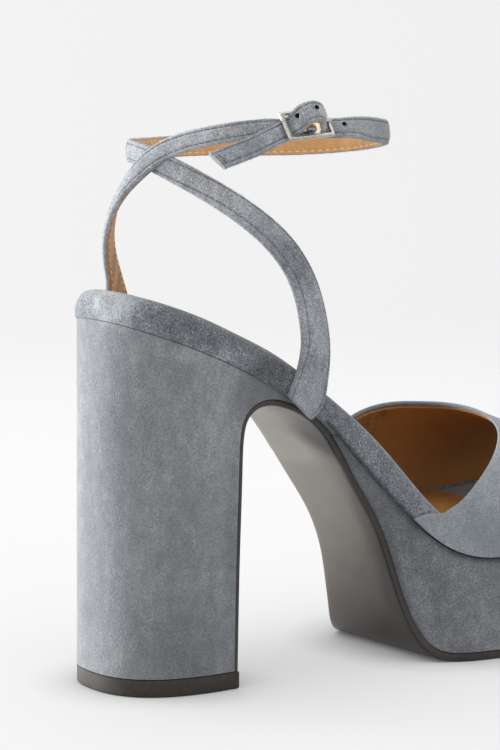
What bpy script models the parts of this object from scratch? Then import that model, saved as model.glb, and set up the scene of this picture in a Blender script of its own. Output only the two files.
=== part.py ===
"""Platform sandal for a right foot: block heel, open-toed vamp and an ankle strap that crosses at the back.

Tables and sizes are in millimetres in the shoe's own frame: X runs from the back of the heel to the toe,
Y to the inner (medial) side, Z up from the floor. Meshes are in metres.
"""

import math
from collections import namedtuple

import bmesh
import bpy
import numpy as np
from mathutils import Quaternion, Vector

MM = 0.001
GAP = 0.3
SHARP_EDGE_DEG = 40

SUEDE_COLOUR = (0.17, 0.20, 0.23)
LINING_COLOUR = (0.42, 0.22, 0.08)
SOLE_COLOUR = (0.09, 0.085, 0.08)
RUBBER_COLOUR = (0.02, 0.018, 0.016)
METAL_COLOUR = (0.80, 0.79, 0.77)

# Footbed: plan length, rounding of its two ends, and the lift of the toe
FOOT_LENGTH = 219.0
HEEL_ROUND = 33.0
HEEL_POWER = 2.5
TOE_ROUND_LATERAL = 56.0
TOE_POWER_LATERAL = 1.85
TOE_ROUND_MEDIAL = 48.0
TOE_POWER_MEDIAL = 2.0
TOE_SHIFT = 4.0
TOE_SHIFT_START = 140.0
SPRING_START = 158.0
TOE_SPRING = 9.0
OUTLINE_STATIONS = 50
SOCK_STATIONS = 42
TIP_ARC = 2.5
SEAT_REACH = 0.5

FootbedRow = namedtuple("FootbedRow", "x z thick lateral medial")
FOOTBED = [
    FootbedRow(0, 119.6, 10.0, 27.0, 27.0),
    FootbedRow(12, 114.9, 10.2, 27.0, 27.0),
    FootbedRow(25, 109.7, 10.1, 27.0, 27.0),
    FootbedRow(36, 104.9, 9.8, 27.0, 27.0),
    FootbedRow(47, 99.6, 9.8, 26.7, 26.3),
    FootbedRow(57, 94.2, 9.4, 26.0, 25.0),
    FootbedRow(65, 89.7, 8.6, 25.5, 24.0),
    FootbedRow(71, 85.8, 8.0, 25.4, 23.2),
    FootbedRow(76, 81.6, 8.3, 25.6, 22.7),
    FootbedRow(82, 75.1, 9.6, 26.2, 22.4),
    FootbedRow(92, 63.6, 10.5, 28.3, 22.8),
    FootbedRow(104, 50.2, 9.7, 31.6, 24.9),
    FootbedRow(116, 39.8, 9.0, 34.7, 28.2),
    FootbedRow(129, 35.1, 9.3, 37.5, 32.3),
    FootbedRow(145, 34.7, 9.4, 39.3, 36.2),
    FootbedRow(165, 34.7, 9.4, 40.0, 38.0),
    FootbedRow(219, 34.7, 9.0, 40.0, 38.0),
]

# Cross-section of the footbed's padded rim: how far in from the edge, at which share of the thickness
RimRow = namedtuple("RimRow", "inset share")
RIM = [RimRow(1.0, 0.0), RimRow(0.0, 0.16), RimRow(0.0, 0.62), RimRow(0.8, 0.86), RimRow(2.7, 1.0)]

# Sock lining
SOCK_INSET = 3.4
SOCK_THICK = 0.6
SOCK_EDGE = 0.25
SOCK_END = 168.0

# Outer face of the outsole from the foot of the heel's breast to the ball
OutsoleRow = namedtuple("OutsoleRow", "x z thick lateral medial")
OUTSOLE = [
    OutsoleRow(39.4, 5.8, 1.5, 25.8, 25.8),
    OutsoleRow(40.3, 45.0, 1.5, 25.9, 25.8),
    OutsoleRow(41.3, 72.0, 1.5, 25.9, 25.6),
    OutsoleRow(42.1, 82.0, 1.6, 25.8, 25.4),
    OutsoleRow(43.3, 85.8, 1.7, 25.7, 25.2),
    OutsoleRow(46.0, 88.6, 1.8, 25.4, 24.7),
    OutsoleRow(50.5, 90.0, 1.9, 24.8, 23.6),
    OutsoleRow(58.4, 88.9, 2.0, 23.7, 20.6),
    OutsoleRow(68.3, 84.6, 2.1, 22.7, 18.0),
    OutsoleRow(73.8, 80.3, 2.1, 22.7, 17.6),
    OutsoleRow(78.9, 73.6, 2.1, 23.0, 17.1),
    OutsoleRow(86.2, 61.4, 2.1, 23.3, 15.3),
    OutsoleRow(95.6, 46.6, 2.1, 23.5, 14.5),
    OutsoleRow(101.1, 32.5, 2.1, 24.3, 14.5),
    OutsoleRow(103.8, 22.0, 2.1, 26.2, 15.6),
    OutsoleRow(106.6, 12.8, 2.2, 28.6, 17.6),
    OutsoleRow(110.2, 5.3, 2.4, 31.8, 20.8),
    OutsoleRow(114.8, 1.3, 2.6, 34.6, 24.4),
    OutsoleRow(120.5, 0.0, 2.7, 36.9, 28.6),
]
BALL_X = 121.0
FOREFOOT_X = 126.0
FOREFOOT_THICK = 2.7
OUTSOLE_STATIONS = 46
EVEN_STEP = 12.0
EVEN_TURN = 0.17
OUTSOLE_CHAMFER = 0.5
FOREFOOT_STATIONS = 22

# Platform: step out to the face of the vamp, and where that step begins
PLATFORM_START = 83.2
STEP_FROM = 101.0
STEP_TO = 114.0
PLATFORM_BULGE = 0.7
PLATFORM_LIP = 0.7

# Heel
HEEL_LEAN = 0.9
TOP_PIECE_THICK = 5.5
TOP_PIECE_FRONT = 39.4
TOP_PIECE_CHAMFER = 0.5
WING_END = 60.0
HEEL_ARC_POINTS = 14
HEEL_SIDE_POINTS = 5
HeelRow = namedtuple("HeelRow", "x lateral medial")
HEEL = [
    HeelRow(0, 26.1, 26.1),
    HeelRow(20, 26.1, 26.1),
    HeelRow(33, 26.1, 26.1),
    HeelRow(40, 25.9, 25.8),
    HeelRow(47, 25.3, 24.8),
    HeelRow(60, 23.6, 21.6),
]

# Vamp: a wall that stands round the footbed, with an arch over it
WALL = 1.9
WALL_RISE = 8.5
ARCH_SHARE = 0.86
ARCH_POWER = 2.2
RIDGE_SHIFT = 4.0
VAMP_LINES = 40
VAMP_STATIONS = 16
TOE_CROWDING = 0.75
TOE_EDGE_MIDDLE = 199.0
TOE_EDGE_SIDE = 9.0
CrownRow = namedtuple("CrownRow", "x z")
CROWN = [
    CrownRow(96, 114.0),
    CrownRow(116, 101.0),
    CrownRow(128, 93.6),
    CrownRow(140, 86.8),
    CrownRow(152, 80.6),
    CrownRow(166, 75.2),
    CrownRow(182, 70.0),
    CrownRow(200, 65.4),
    CrownRow(214, 62.0),
]
# Topline: how far round the section (-1 lateral foot, 0 ridge, 1 medial foot) and where the vamp begins
ToplineRow = namedtuple("ToplineRow", "round x")
TOPLINE = [
    ToplineRow(-1.0, 104.5),
    ToplineRow(-0.86, 110.5),
    ToplineRow(-0.79, 117.5),
    ToplineRow(-0.70, 126.0),
    ToplineRow(-0.61, 133.5),
    ToplineRow(-0.50, 140.5),
    ToplineRow(-0.34, 147.5),
    ToplineRow(-0.15, 151.7),
    ToplineRow(0.05, 151.7),
    ToplineRow(0.22, 146.6),
    ToplineRow(0.34, 138.4),
    ToplineRow(0.44, 129.0),
    ToplineRow(0.54, 118.6),
    ToplineRow(0.70, 106.5),
    ToplineRow(0.86, 98.0),
    ToplineRow(1.0, 93.0),
]

# Straps: middle line, width, thickness, and how far the outer face looks upwards and is turned inwards
ANKLE_X = 64.0
ANKLE_LONG = 48.0
ANKLE_WIDE = 31.0
RIM_TOP = 114.0
RIM_TO_ANKLE = 20.0
STRAP_EDGE = 0.8
STRAP_STEP = 3.4
BASE_SLANT = 0.5
TIP_SLANT = 0.35
StrapRow = namedtuple("StrapRow", "x y z width thick lean turn", defaults=(0,))
LATERAL_STRAP = [
    StrapRow(62.1, -27.6, 89.3, 12.4, 2.5, 0),
    StrapRow(64.9, -27.6, 92.9, 13.9, 2.5, 0),
    StrapRow(66.2, -27.8, 96.8, 13.1, 2.5, 0),
    StrapRow(67.0, -28.5, 102.5, 12.0, 2.5, 0),
    StrapRow(67.1, -29.2, 109.3, 10.9, 2.5, 0),
    StrapRow(65.3, -30.1, 118.4, 10.1, 2.5, 0),
    StrapRow(62.5, -30.7, 126.7, 9.5, 2.5, 0),
    StrapRow(58.0, -31.0, 134.9, 8.9, 2.5, 0),
    StrapRow(51.8, -30.8, 142.4, 8.6, 2.5, 0),
    StrapRow(44.4, -29.5, 149.1, 8.2, 2.5, 0),
    StrapRow(36.4, -26.7, 155.2, 7.9, 2.5, 0),
    StrapRow(28.8, -21.7, 160.8, 7.6, 2.5, 0),
    StrapRow(23.0, -12.5, 166.0, 7.4, 2.5, 0),
    StrapRow(20.5, 0.0, 170.0, 7.2, 2.5, 0),
    StrapRow(25.5, 15.5, 171.0, 7.1, 2.5, 0),
    StrapRow(41.0, 28.0, 171.0, 7.0, 2.5, 0),
    StrapRow(65.5, 32.8, 171.4, 7.0, 2.5, 0),
    StrapRow(87.4, 27.8, 171.1, 7.0, 2.5, 0),
    StrapRow(103.6, 16.0, 171.8, 7.1, 2.5, 0),
    StrapRow(110.8, 0.5, 173.9, 7.5, 2.5, 0),
    StrapRow(106.7, -13.5, 175.8, 7.6, 2.5, 2),
    StrapRow(96.8, -24.6, 177.1, 7.8, 2.5, 6),
    StrapRow(84.0, -31.6, 178.3, 7.6, 2.5, 14),
]
TAIL_END = [
    StrapRow(39.9, -34.8, 174.0, 6.7, 2.4, 31),
    StrapRow(32.6, -34.7, 171.7, 6.7, 2.4, 30),
    StrapRow(25.3, -34.3, 169.4, 6.6, 2.4, 30),
]
MEDIAL_STRAP = [
    StrapRow(31.0, 29.1, 104.6, 11.5, 2.5, 0),
    StrapRow(30.0, 29.3, 111.5, 11.0, 2.5, 0),
    StrapRow(28.3, 28.6, 118.4, 10.2, 2.5, 0),
    StrapRow(25.8, 26.0, 124.7, 9.5, 2.5, 0),
    StrapRow(22.9, 22.7, 130.5, 8.9, 2.5, 0, 2),
    StrapRow(19.5, 19.2, 137.2, 8.4, 2.5, 0, 6),
    StrapRow(16.7, 15.0, 144.5, 8.1, 2.5, 0, 13),
    StrapRow(15.4, 10.2, 151.8, 7.8, 2.5, 0, 19),
    StrapRow(15.7, 4.6, 158.9, 7.4, 2.5, 0, 22),
    StrapRow(17.6, -1.6, 165.4, 6.9, 2.5, 0, 20),
    StrapRow(20.5, -8.2, 170.7, 6.5, 2.5, 5, 12),
    StrapRow(25.4, -15.4, 174.5, 6.2, 2.5, 10, 5),
    StrapRow(32.0, -22.4, 176.8, 6.1, 2.5, 15),
    StrapRow(39.6, -26.9, 178.2, 6.2, 2.4, 24),
]

# Buckle: its centre, the rise of its long axis, the upward look of its face, and its section sizes
BUCKLE_CENTRE = Vector((58.8, -34.4, 179.5))
BUCKLE_ALONG = Vector((1.0, -0.084, 0.122))
BUCKLE_LEAN = 31.0
FRAME_HALF_LENGTH = 9.0
FRAME_HALF_WIDTH = 5.0
REAR_BAR = 2.0
FRONT_BAR = 1.2
SIDE_BAR = 1.1
FRAME_THICK = 1.5
FRAME_RISE = 1.2
FRAME_SLOPE = -0.1
FRAME_BEVEL = 0.35
CENTRE_BAR_HALF = 0.8
FOLD_RADIUS = 2.1
FOLD_THICK = 1.6
FOLD_TURN = 215.0
FOLD_STEPS = 9
PRONG_RADIUS = 0.7
PRONG_EYE_INNER = 1.3
PRONG_EYE_OUTER = 1.9
PRONG_EYE_WIDTH = 2.2
PRONG_EYE_STEPS = 20
PRONG_HEIGHT = 2.55
PRONG_ROOT = 1.0
PRONG_REACH = 8.7
PRONG_DROP = 0.055
PRONG_SIDES = 10
SLOT_HALF = 1.6
SLOT_BACK = 2.6
SLOT_FRONT = 4.0
SLOT_DEEP = 6.0
HOLE_RADIUS = 0.8
HOLE_SIDES = 12
HOLE_REACH = 2.0
SLOPE_STEP = 0.1
PRONG_HOLE_RADIUS = 1.1
PRONG_HOLE_FROM = 2.9
PRONG_HOLE_TO = 8.2

# The strap's route through the buckle: along its length, across it and out of it
BuckleRow = namedtuple("BuckleRow", "along across out width thick")
TAIL_IN_BUCKLE = [
    BuckleRow(16.0, -1.7, -2.3, 6.8, 2.4),
    BuckleRow(12.0, -1.1, -2.6, 6.7, 2.4),
    BuckleRow(9.2, -0.5, -2.7, 6.6, 2.4),
    BuckleRow(7.0, -0.1, -1.9, 6.6, 2.4),
    BuckleRow(5.9, 0.1, 0.4, 6.6, 2.4),
    BuckleRow(5.0, 0.3, 3.3, 6.7, 2.4),
    BuckleRow(3.3, 0.8, 6.2, 6.9, 2.4),
    BuckleRow(0.3, 1.2, 7.4, 7.1, 2.4),
    BuckleRow(-2.5, 1.1, 6.0, 7.2, 2.4),
    BuckleRow(-4.1, 0.4, 3.1, 7.0, 2.4),
    BuckleRow(-5.4, 0.15, 0.7, 6.9, 2.4),
    BuckleRow(-7.2, -0.2, -0.7, 6.8, 2.4),
    BuckleRow(-9.4, -0.8, -0.8, 6.6, 2.4),
    BuckleRow(-12.4, -1.6, -0.6, 6.6, 2.4),
]
STRAP_TO_BAR = [
    BuckleRow(-12.5, 3.0, -3.4, 6.4, 2.4),
    BuckleRow(-8.7, 2.6, -3.6, 6.5, 2.4),
    BuckleRow(-6.0, 1.7, -3.3, 6.6, 2.3),
    BuckleRow(-3.6, 0.7, -1.9, 6.6, 2.0),
    BuckleRow(-1.4, 0.2, -1.0, 6.6, 1.7),
]
# Open punched holes of the tail strap, as places along the buckle
HOLE_PLACES = (15.0, 1.0, -3.3)
HOLE_ACROSS = 0.7


class Spline:
    """A natural cubic through its knots; values may be numbers or rows of numbers."""

    def __init__(self, knots, values):
        self.knots = np.asarray(knots, float)
        self.values = np.asarray(values, float)
        step = np.diff(self.knots)
        count = len(self.knots)
        matrix = np.eye(count)
        right = np.zeros_like(self.values)
        for i in range(1, count - 1):
            matrix[i, i - 1 : i + 2] = step[i - 1], 2 * (step[i - 1] + step[i]), step[i]
            rise_after = (self.values[i + 1] - self.values[i]) / step[i]
            rise_before = (self.values[i] - self.values[i - 1]) / step[i - 1]
            right[i] = 6 * (rise_after - rise_before)
        self.bend = np.linalg.solve(matrix, right)

    def __call__(self, at):
        at = np.clip(at, self.knots[0], self.knots[-1])
        i = np.clip(np.searchsorted(self.knots, at, side="right") - 1, 0, len(self.knots) - 2)
        step = self.knots[i + 1] - self.knots[i]
        after = (at - self.knots[i]) / step
        before = 1 - after
        if self.values.ndim == 2:
            step, after, before = step[:, None], after[:, None], before[:, None]
        curve = (before**3 - before) * self.bend[i] + (after**3 - after) * self.bend[i + 1]
        return before * self.values[i] + after * self.values[i + 1] + step**2 / 6 * curve


def along_x(table, column):
    return Spline([row.x for row in table], [getattr(row, column) for row in table])


def through(rows):
    """A spline through rows of numbers, run along the length of their first three columns."""
    rows = np.asarray(rows, float)
    reach = np.linalg.norm(np.diff(rows[:, :3], axis=0), axis=1)
    return Spline(np.concatenate([[0], np.cumsum(reach)]), rows)


def ease(share):
    share = np.clip(share, 0, 1)
    return share * share * (3 - 2 * share)


FOOTBED_Z = along_x(FOOTBED, "z")
FOOTBED_THICK = along_x(FOOTBED, "thick")
FOOTBED_LATERAL = along_x(FOOTBED, "lateral")
FOOTBED_MEDIAL = along_x(FOOTBED, "medial")
CROWN_Z = along_x(CROWN, "z")
HEEL_LATERAL = along_x(HEEL, "lateral")
HEEL_MEDIAL = along_x(HEEL, "medial")
TOPLINE_X = Spline([row.round for row in TOPLINE], [row.x for row in TOPLINE])


def toe_lift(x):
    return TOE_SPRING * np.clip((x - SPRING_START) / (FOOT_LENGTH - SPRING_START), 0, None) ** 2


def seat(x):
    """Height of the footbed's underside."""
    return FOOTBED_Z(x) + toe_lift(x)


def seat_normal(x):
    """X and Z of the unit normal of the footbed's underside."""
    slope = (seat(x + SEAT_REACH) - seat(x - SEAT_REACH)) / (2 * SEAT_REACH)
    size = np.sqrt(1 + slope**2)
    return -slope / size, 1 / size


def round_end(share, power):
    """Width factor of a rounded end, from 0 at its tip to 1."""
    return (1 - (1 - np.clip(share, 0, 1)) ** power) ** (1 / power)


def foot_edges(x):
    """Y of the footbed's lateral and medial edges."""
    back = round_end(x / HEEL_ROUND, HEEL_POWER)
    lateral_toe = round_end((FOOT_LENGTH - x) / TOE_ROUND_LATERAL, TOE_POWER_LATERAL)
    medial_toe = round_end((FOOT_LENGTH - x) / TOE_ROUND_MEDIAL, TOE_POWER_MEDIAL)
    middle = TOE_SHIFT * ease((x - TOE_SHIFT_START) / (FOOT_LENGTH - TOE_SHIFT_START))
    lateral = middle - FOOTBED_LATERAL(x) * back * lateral_toe
    medial = middle + FOOTBED_MEDIAL(x) * back * medial_toe
    return lateral, medial


def dense_stations():
    return FOOT_LENGTH * (1 - np.cos(np.linspace(0, np.pi, 4001))) / 2


def stations(count, start=0.0, end=FOOT_LENGTH):
    """X places spread evenly along the footbed's edge."""
    x = dense_stations()
    x = x[(x >= start) & (x <= end)]
    lateral, medial = foot_edges(x)
    half = (medial - lateral) / 2
    step = np.sqrt(np.diff(x) ** 2 + np.diff(half) ** 2 + np.diff(seat(x)) ** 2)
    run = np.concatenate([[0], np.cumsum(step)])
    first = TIP_ARC if start <= 0 else 0.0
    last = run[-1] - (TIP_ARC if end >= FOOT_LENGTH else 0.0)
    return np.interp(np.linspace(first, last, count), run, x)


def outset_edge(x, y, outset):
    """A plan edge moved out along its own normal; outset may change along it."""
    across = np.gradient(x), np.gradient(y)
    size = np.hypot(*across)
    out_x, out_y = across[1] / size, -across[0] / size
    return x + outset * out_x, y + outset * out_y


def plan_edges(x, outset):
    """Plan points of both edges, lateral then medial, moved out of the footbed's outline."""
    lateral, medial = foot_edges(x)
    lateral_x, lateral_y = outset_edge(x, lateral, outset)
    medial_x, medial_y = outset_edge(x, medial, -outset)
    return np.stack([lateral_x, lateral_y], 1), np.stack([medial_x, medial_y], 1)


def seat_point(plan, rise):
    """Points that stand on plan places of the footbed's underside, raised along its normal."""
    x = np.clip(plan[:, 0], 0, FOOT_LENGTH)
    normal_x, normal_z = seat_normal(x)
    return np.stack([plan[:, 0] + rise * normal_x, plan[:, 1], seat(x) + rise * normal_z], 1)


def new_object(name, mesh_builder, material):
    mesh = bpy.data.meshes.new(name)
    bmesh.ops.recalc_face_normals(mesh_builder, faces=mesh_builder.faces)
    mesh_builder.to_mesh(mesh)
    mesh_builder.free()
    mesh.shade_smooth()
    mesh.set_sharp_from_angle(angle=math.radians(SHARP_EDGE_DEG))
    mesh.materials.append(material)
    made = bpy.data.objects.new(name, mesh)
    bpy.context.scene.collection.objects.link(made)
    return made


def loft(rings, rungs):
    """A closed skin through rings of equally many points. Its ends are one face each, or rungs across."""
    builder = bmesh.new()
    made = [[builder.verts.new(Vector(point) * MM) for point in ring] for ring in rings]
    count = len(made[0])
    for lower, upper in zip(made, made[1:]):
        for i in range(count):
            j = (i + 1) % count
            builder.faces.new((lower[i], lower[j], upper[j], upper[i]))
    for ring in (made[0], made[-1]):
        if not rungs:
            builder.faces.new(ring)
            continue
        for i in range(count // 2 - 1):
            builder.faces.new((ring[i], ring[i + 1], ring[count - 2 - i], ring[count - 1 - i]))
    return builder


def both_sides(lateral, medial):
    """One ring from two edges that run heel to toe."""
    return np.concatenate([lateral, medial[::-1]])


def material(name, colour, roughness, metallic=0.0):
    made = bpy.data.materials.new(name)
    made.use_nodes = True
    shader = made.node_tree.nodes["Principled BSDF"]
    shader.inputs["Base Color"].default_value = (*colour, 1.0)
    shader.inputs["Roughness"].default_value = roughness
    shader.inputs["Metallic"].default_value = metallic
    return made


def suede(name):
    return material(name, SUEDE_COLOUR, 0.9)


def metal(name):
    return material(name, METAL_COLOUR, 0.2, 1.0)


def footbed():
    x = stations(OUTLINE_STATIONS)
    rings = []
    for row in RIM:
        sides = []
        for edge in plan_edges(x, -row.inset):
            sides.append(seat_point(edge, row.share * FOOTBED_THICK(edge[:, 0])))
        rings.append(both_sides(*sides))
    return new_object("footbed", loft(rings, rungs=True), suede("suede_footbed"))


def sock_lining():
    x = stations(SOCK_STATIONS, 0.0, SOCK_END)
    rings = []
    for inset, rise in ((0.0, 0.0), (0.0, SOCK_THICK - SOCK_EDGE), (SOCK_EDGE, SOCK_THICK)):
        sides = []
        for edge in plan_edges(x, -SOCK_INSET - inset):
            sides.append(seat_point(edge, FOOTBED_THICK(edge[:, 0]) + GAP + rise))
        rings.append(both_sides(*sides))
    leather = material("leather_sock", LINING_COLOUR, 0.55)
    return new_object("sock_lining", loft(rings, rungs=True), leather)


def even_turns(path, count):
    """Places along an XZ path, spread over its length and closer where it turns."""
    at = np.linspace(0, path.knots[-1], 3000)
    ahead = np.diff(path(at)[:, :2], axis=0)
    heading = np.unwrap(np.arctan2(ahead[:, 1], ahead[:, 0]))
    turned = np.abs(np.diff(heading, prepend=heading[0])) / EVEN_TURN
    gone = np.hypot(ahead[:, 0], ahead[:, 1]) / EVEN_STEP
    share = np.concatenate([[0], np.cumsum(turned + gone)])
    return np.interp(np.linspace(0, share[-1], count), share, at)


def outsole_sections():
    """Rows of x, z, inward normal x and z, thickness, lateral Y and medial Y along the outsole."""
    path = through([(row.x, row.z, 0, row.thick, row.lateral, row.medial) for row in OUTSOLE])
    at = even_turns(path, OUTSOLE_STATIONS)
    run = path(at)
    ahead = path(at + 0.2) - path(at - 0.2)
    size = np.hypot(ahead[:, 0], ahead[:, 1])
    heel_part = np.stack(
        [run[:, 0], np.maximum(run[:, 1], 0), -ahead[:, 1] / size, ahead[:, 0] / size, run[:, 3]], 1
    )
    heel_sides = np.stack([run[:, 0], -run[:, 4], run[:, 0], run[:, 5]], 1)
    x = stations(FOREFOOT_STATIONS, FOREFOOT_X)
    lift = toe_lift(x)
    slope = np.gradient(lift, x)
    size = np.hypot(1, slope)
    thick = np.full_like(x, FOREFOOT_THICK)
    toe_part = np.stack([x, lift, -slope / size, 1 / size, thick], 1)
    lateral, medial = plan_edges(x, GAP + WALL)
    toe_sides = np.concatenate([lateral, medial], 1)
    return np.concatenate([heel_part, toe_part]), np.concatenate([heel_sides, toe_sides])


def sole_layer(sections, sides, depth, inset):
    """Lateral and medial points at a depth into the outsole, drawn in from its edges."""
    move = sections[:, 2:4] * depth[:, None]
    z = sections[:, 1] + move[:, 1]
    lateral = np.stack([sides[:, 0] + move[:, 0], sides[:, 1] + inset, z], 1)
    medial = np.stack([sides[:, 2] + move[:, 0], sides[:, 3] - inset, z], 1)
    return lateral, medial


def outsole():
    sections, sides = outsole_sections()
    thick = sections[:, 4]
    low_lateral, low_medial = sole_layer(sections, sides, 0 * thick, OUTSOLE_CHAMFER)
    mid_lateral, mid_medial = sole_layer(sections, sides, 0 * thick + OUTSOLE_CHAMFER, 0.0)
    top_lateral, top_medial = sole_layer(sections, sides, thick, 0.0)
    loops = (low_lateral, mid_lateral, top_lateral, top_medial, mid_medial, low_medial)
    rings = np.stack(loops, 1)
    leather = material("sole_leather", SOLE_COLOUR, 0.45)
    return new_object("outsole", loft(rings, rungs=False), leather)


def platform():
    sections, sides = outsole_sections()
    lateral, medial = sole_layer(sections, sides, sections[:, 4] + GAP, 0.0)
    ahead = lateral[:, 0] > PLATFORM_START
    lateral, medial = lateral[ahead], medial[ahead]
    x = np.minimum((lateral[:, 0] + medial[:, 0]) / 2, sections[-1, 0])
    x = np.where(x > BALL_X, sections[ahead, 0], x)
    step = (GAP + WALL) * ease((x - STEP_FROM) / (STEP_TO - STEP_FROM))
    loops = []
    for foot, plan, side in zip((lateral, medial), plan_edges(x, step), (-1, 1)):
        head = np.stack([plan[:, 0], plan[:, 1], seat(x) - GAP], 1)
        drop = head[:, 2] - foot[:, 2]
        lip = np.minimum(PLATFORM_LIP, drop / 4)
        shoulder = head - np.stack([0 * x, 0 * x, 2 * lip], 1)
        brim = head - np.stack([0 * x, side * lip, 0 * x], 1)
        belly = (shoulder + foot) / 2
        belly[:, 1] += side * np.minimum(PLATFORM_BULGE, drop / 12)
        loops.append((brim, shoulder, belly, foot))
    rings = np.stack(loops[0] + loops[1][::-1], 1)
    return new_object("platform", loft(rings, rungs=False), suede("suede_platform"))


def heel_outline(back, front):
    """Lateral and medial plan edges of the heel between its back and a straight front."""
    turn = np.linspace(0.06, 0.5 * np.pi, HEEL_ARC_POINTS)
    arc = back + HEEL_ROUND * (1 - np.cos(turn) ** (2 / HEEL_POWER))
    side = np.linspace(back + HEEL_ROUND, front, HEEL_SIDE_POINTS + 1)[1:]
    x = np.concatenate([arc, side])
    width = round_end((x - back) / HEEL_ROUND, HEEL_POWER)
    lateral = np.stack([x, -HEEL_LATERAL(x) * width], 1)
    medial = np.stack([x, HEEL_MEDIAL(x) * width], 1)
    return lateral, medial


def heel_block():
    """Level rings whose straight fronts lie on the outsole's inner face, up to the end of the wing."""
    sections, sides = outsole_sections()
    breast, _ = sole_layer(sections, sides, sections[:, 4] + GAP, 0.0)
    foot = TOP_PIECE_THICK + GAP
    front = breast[breast[:, 0] <= WING_END]
    level = (front[:, 2] - foot) / (seat(front[:, 0]) - GAP - foot)
    fronts = np.append(front[:, 0], front[-1, 0])
    levels = np.append(np.maximum(level, 0), 1.0)
    rings = []
    for share, front_x in zip(levels, fronts):
        ring = []
        for edge in heel_outline(HEEL_LEAN * share, front_x):
            height = foot + share * (seat(edge[:, 0]) - GAP - foot)
            ring.append(np.column_stack([edge, height]))
        rings.append(both_sides(*ring))
    return new_object("heel_block", loft(rings, rungs=True), suede("suede_heel"))


def heel_top_piece():
    rings = []
    for inset, z in ((TOP_PIECE_CHAMFER, 0.0), (0.0, TOP_PIECE_CHAMFER), (0.0, TOP_PIECE_THICK)):
        middle = np.array([HEEL_ROUND, 0.0])
        shrink = 1 - inset / HEEL_LATERAL(0.0)
        sides = []
        for edge in heel_outline(0.0, TOP_PIECE_FRONT):
            sides.append(np.column_stack([middle + (edge - middle) * shrink, np.full(len(edge), z)]))
        rings.append(both_sides(*sides))
    rubber = material("rubber_top_piece", RUBBER_COLOUR, 0.5)
    return new_object("heel_top_piece", loft(rings, rungs=True), rubber)


def vamp_point(x, around, depth):
    """A point of the vamp over footbed station x, that far round its section, at a depth in its wall."""
    normal_x, normal_z = seat_normal(x)
    lateral, medial = foot_edges(x)
    out = GAP + WALL - depth
    reach = np.abs(around)
    rise = WALL_RISE * np.minimum((1 - reach) / (1 - ARCH_SHARE), 1)
    place_x = x + rise * normal_x
    wall_z = seat(x) + rise * normal_z
    turn = np.minimum(reach / ARCH_SHARE, 1) * np.pi / 2
    ridge = RIDGE_SHIFT + (lateral + medial) / 2
    edge = np.where(around < 0, lateral - out, medial + out)
    y = ridge + (edge - ridge) * np.sin(turn) ** (2 / ARCH_POWER)
    crown = CROWN_Z(place_x) - depth - wall_z
    return np.stack([place_x, y, wall_z + crown * np.abs(np.cos(turn)) ** (2 / ARCH_POWER)], -1)


def vamp_lines():
    """How far round each line of the vamp lies: even over the arch, with a few on each wall."""
    wall = np.linspace(ARCH_SHARE, 1, 4)[1:]
    arch = np.linspace(-ARCH_SHARE, ARCH_SHARE, VAMP_LINES - 2 * len(wall))
    return np.concatenate([-wall[::-1], arch, wall])


def vamp():
    around = vamp_lines()[:, None]
    share = np.linspace(0, 1, VAMP_STATIONS)[None, :] ** TOE_CROWDING
    back = TOPLINE_X(around[:, 0])[:, None]
    front = TOE_EDGE_MIDDLE + TOE_EDGE_SIDE * around**2
    x = back + (front - back) * share
    around = np.broadcast_to(around, x.shape)
    builder = bmesh.new()
    layers = []
    for depth in (0.0, WALL):
        points = vamp_point(x, around, depth)
        layers.append([[builder.verts.new(Vector(point) * MM) for point in line] for line in points])
    outer, inner = layers
    lines, count = len(outer), len(outer[0])
    for i in range(lines - 1):
        for j in range(count - 1):
            for layer in layers:
                builder.faces.new((layer[i][j], layer[i + 1][j], layer[i + 1][j + 1], layer[i][j + 1]))
    border = [(i, 0) for i in range(lines)] + [(lines - 1, j) for j in range(1, count)]
    border += [(i, count - 1) for i in range(lines - 2, -1, -1)] + [(0, j) for j in range(count - 2, 0, -1)]
    for (i, j), (k, m) in zip(border, border[1:] + border[:1]):
        builder.faces.new((outer[i][j], outer[k][m], inner[k][m], inner[i][j]))
    return new_object("vamp", builder, suede("suede_vamp"))


def buckle_axes():
    """Unit vectors along the buckle, across it (upwards) and out of its face."""
    along = BUCKLE_ALONG.normalized()
    level = Vector((0, 0, 1)).cross(along).normalized()
    lean = math.radians(BUCKLE_LEAN)
    out = -level * math.cos(lean) + Vector((0, 0, 1)) * math.sin(lean)
    out = (out - along * out.dot(along)).normalized()
    return along, out.cross(along), out


def in_buckle(along, across, out):
    axes = buckle_axes()
    return BUCKLE_CENTRE + axes[0] * along + axes[1] * across + axes[2] * out


def frame_out(along):
    """How far the buckle's frame stands out at a place along it."""
    return FRAME_RISE + FRAME_SLOPE * along


def prong_out(along):
    """How far the prong's middle line stands out, as it slopes down to the front bar."""
    return PRONG_HEIGHT - PRONG_DROP * (along - PRONG_ROOT)


def buckle_strap_rows(rows):
    made = []
    for row in rows:
        place = in_buckle(row.along, row.across, row.out)
        made.append(StrapRow(*place, row.width, row.thick, BUCKLE_LEAN))
    return made


def fold_rows():
    """The strap's end, turned round the centre bar."""
    rows = []
    for step in range(FOLD_STEPS):
        turn = math.radians(-90 + FOLD_TURN * step / (FOLD_STEPS - 1))
        along = FOLD_RADIUS * math.cos(turn)
        out = FRAME_RISE + FOLD_RADIUS * math.sin(turn)
        rows.append(BuckleRow(along, STRAP_TO_BAR[-1].across, out, STRAP_TO_BAR[-1].width, FOLD_THICK))
    return buckle_strap_rows(rows)


def strap_section(width, thick):
    """A flat section with eased corners, across and out."""
    half, deep, edge = width / 2, thick / 2, STRAP_EDGE * min(1.0, thick / 2)
    return [
        (-half, edge - deep),
        (edge - half, -deep),
        (half - edge, -deep),
        (half, edge - deep),
        (half, deep - edge),
        (half - edge, deep),
        (edge - half, deep),
        (-half, deep - edge),
    ]


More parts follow.
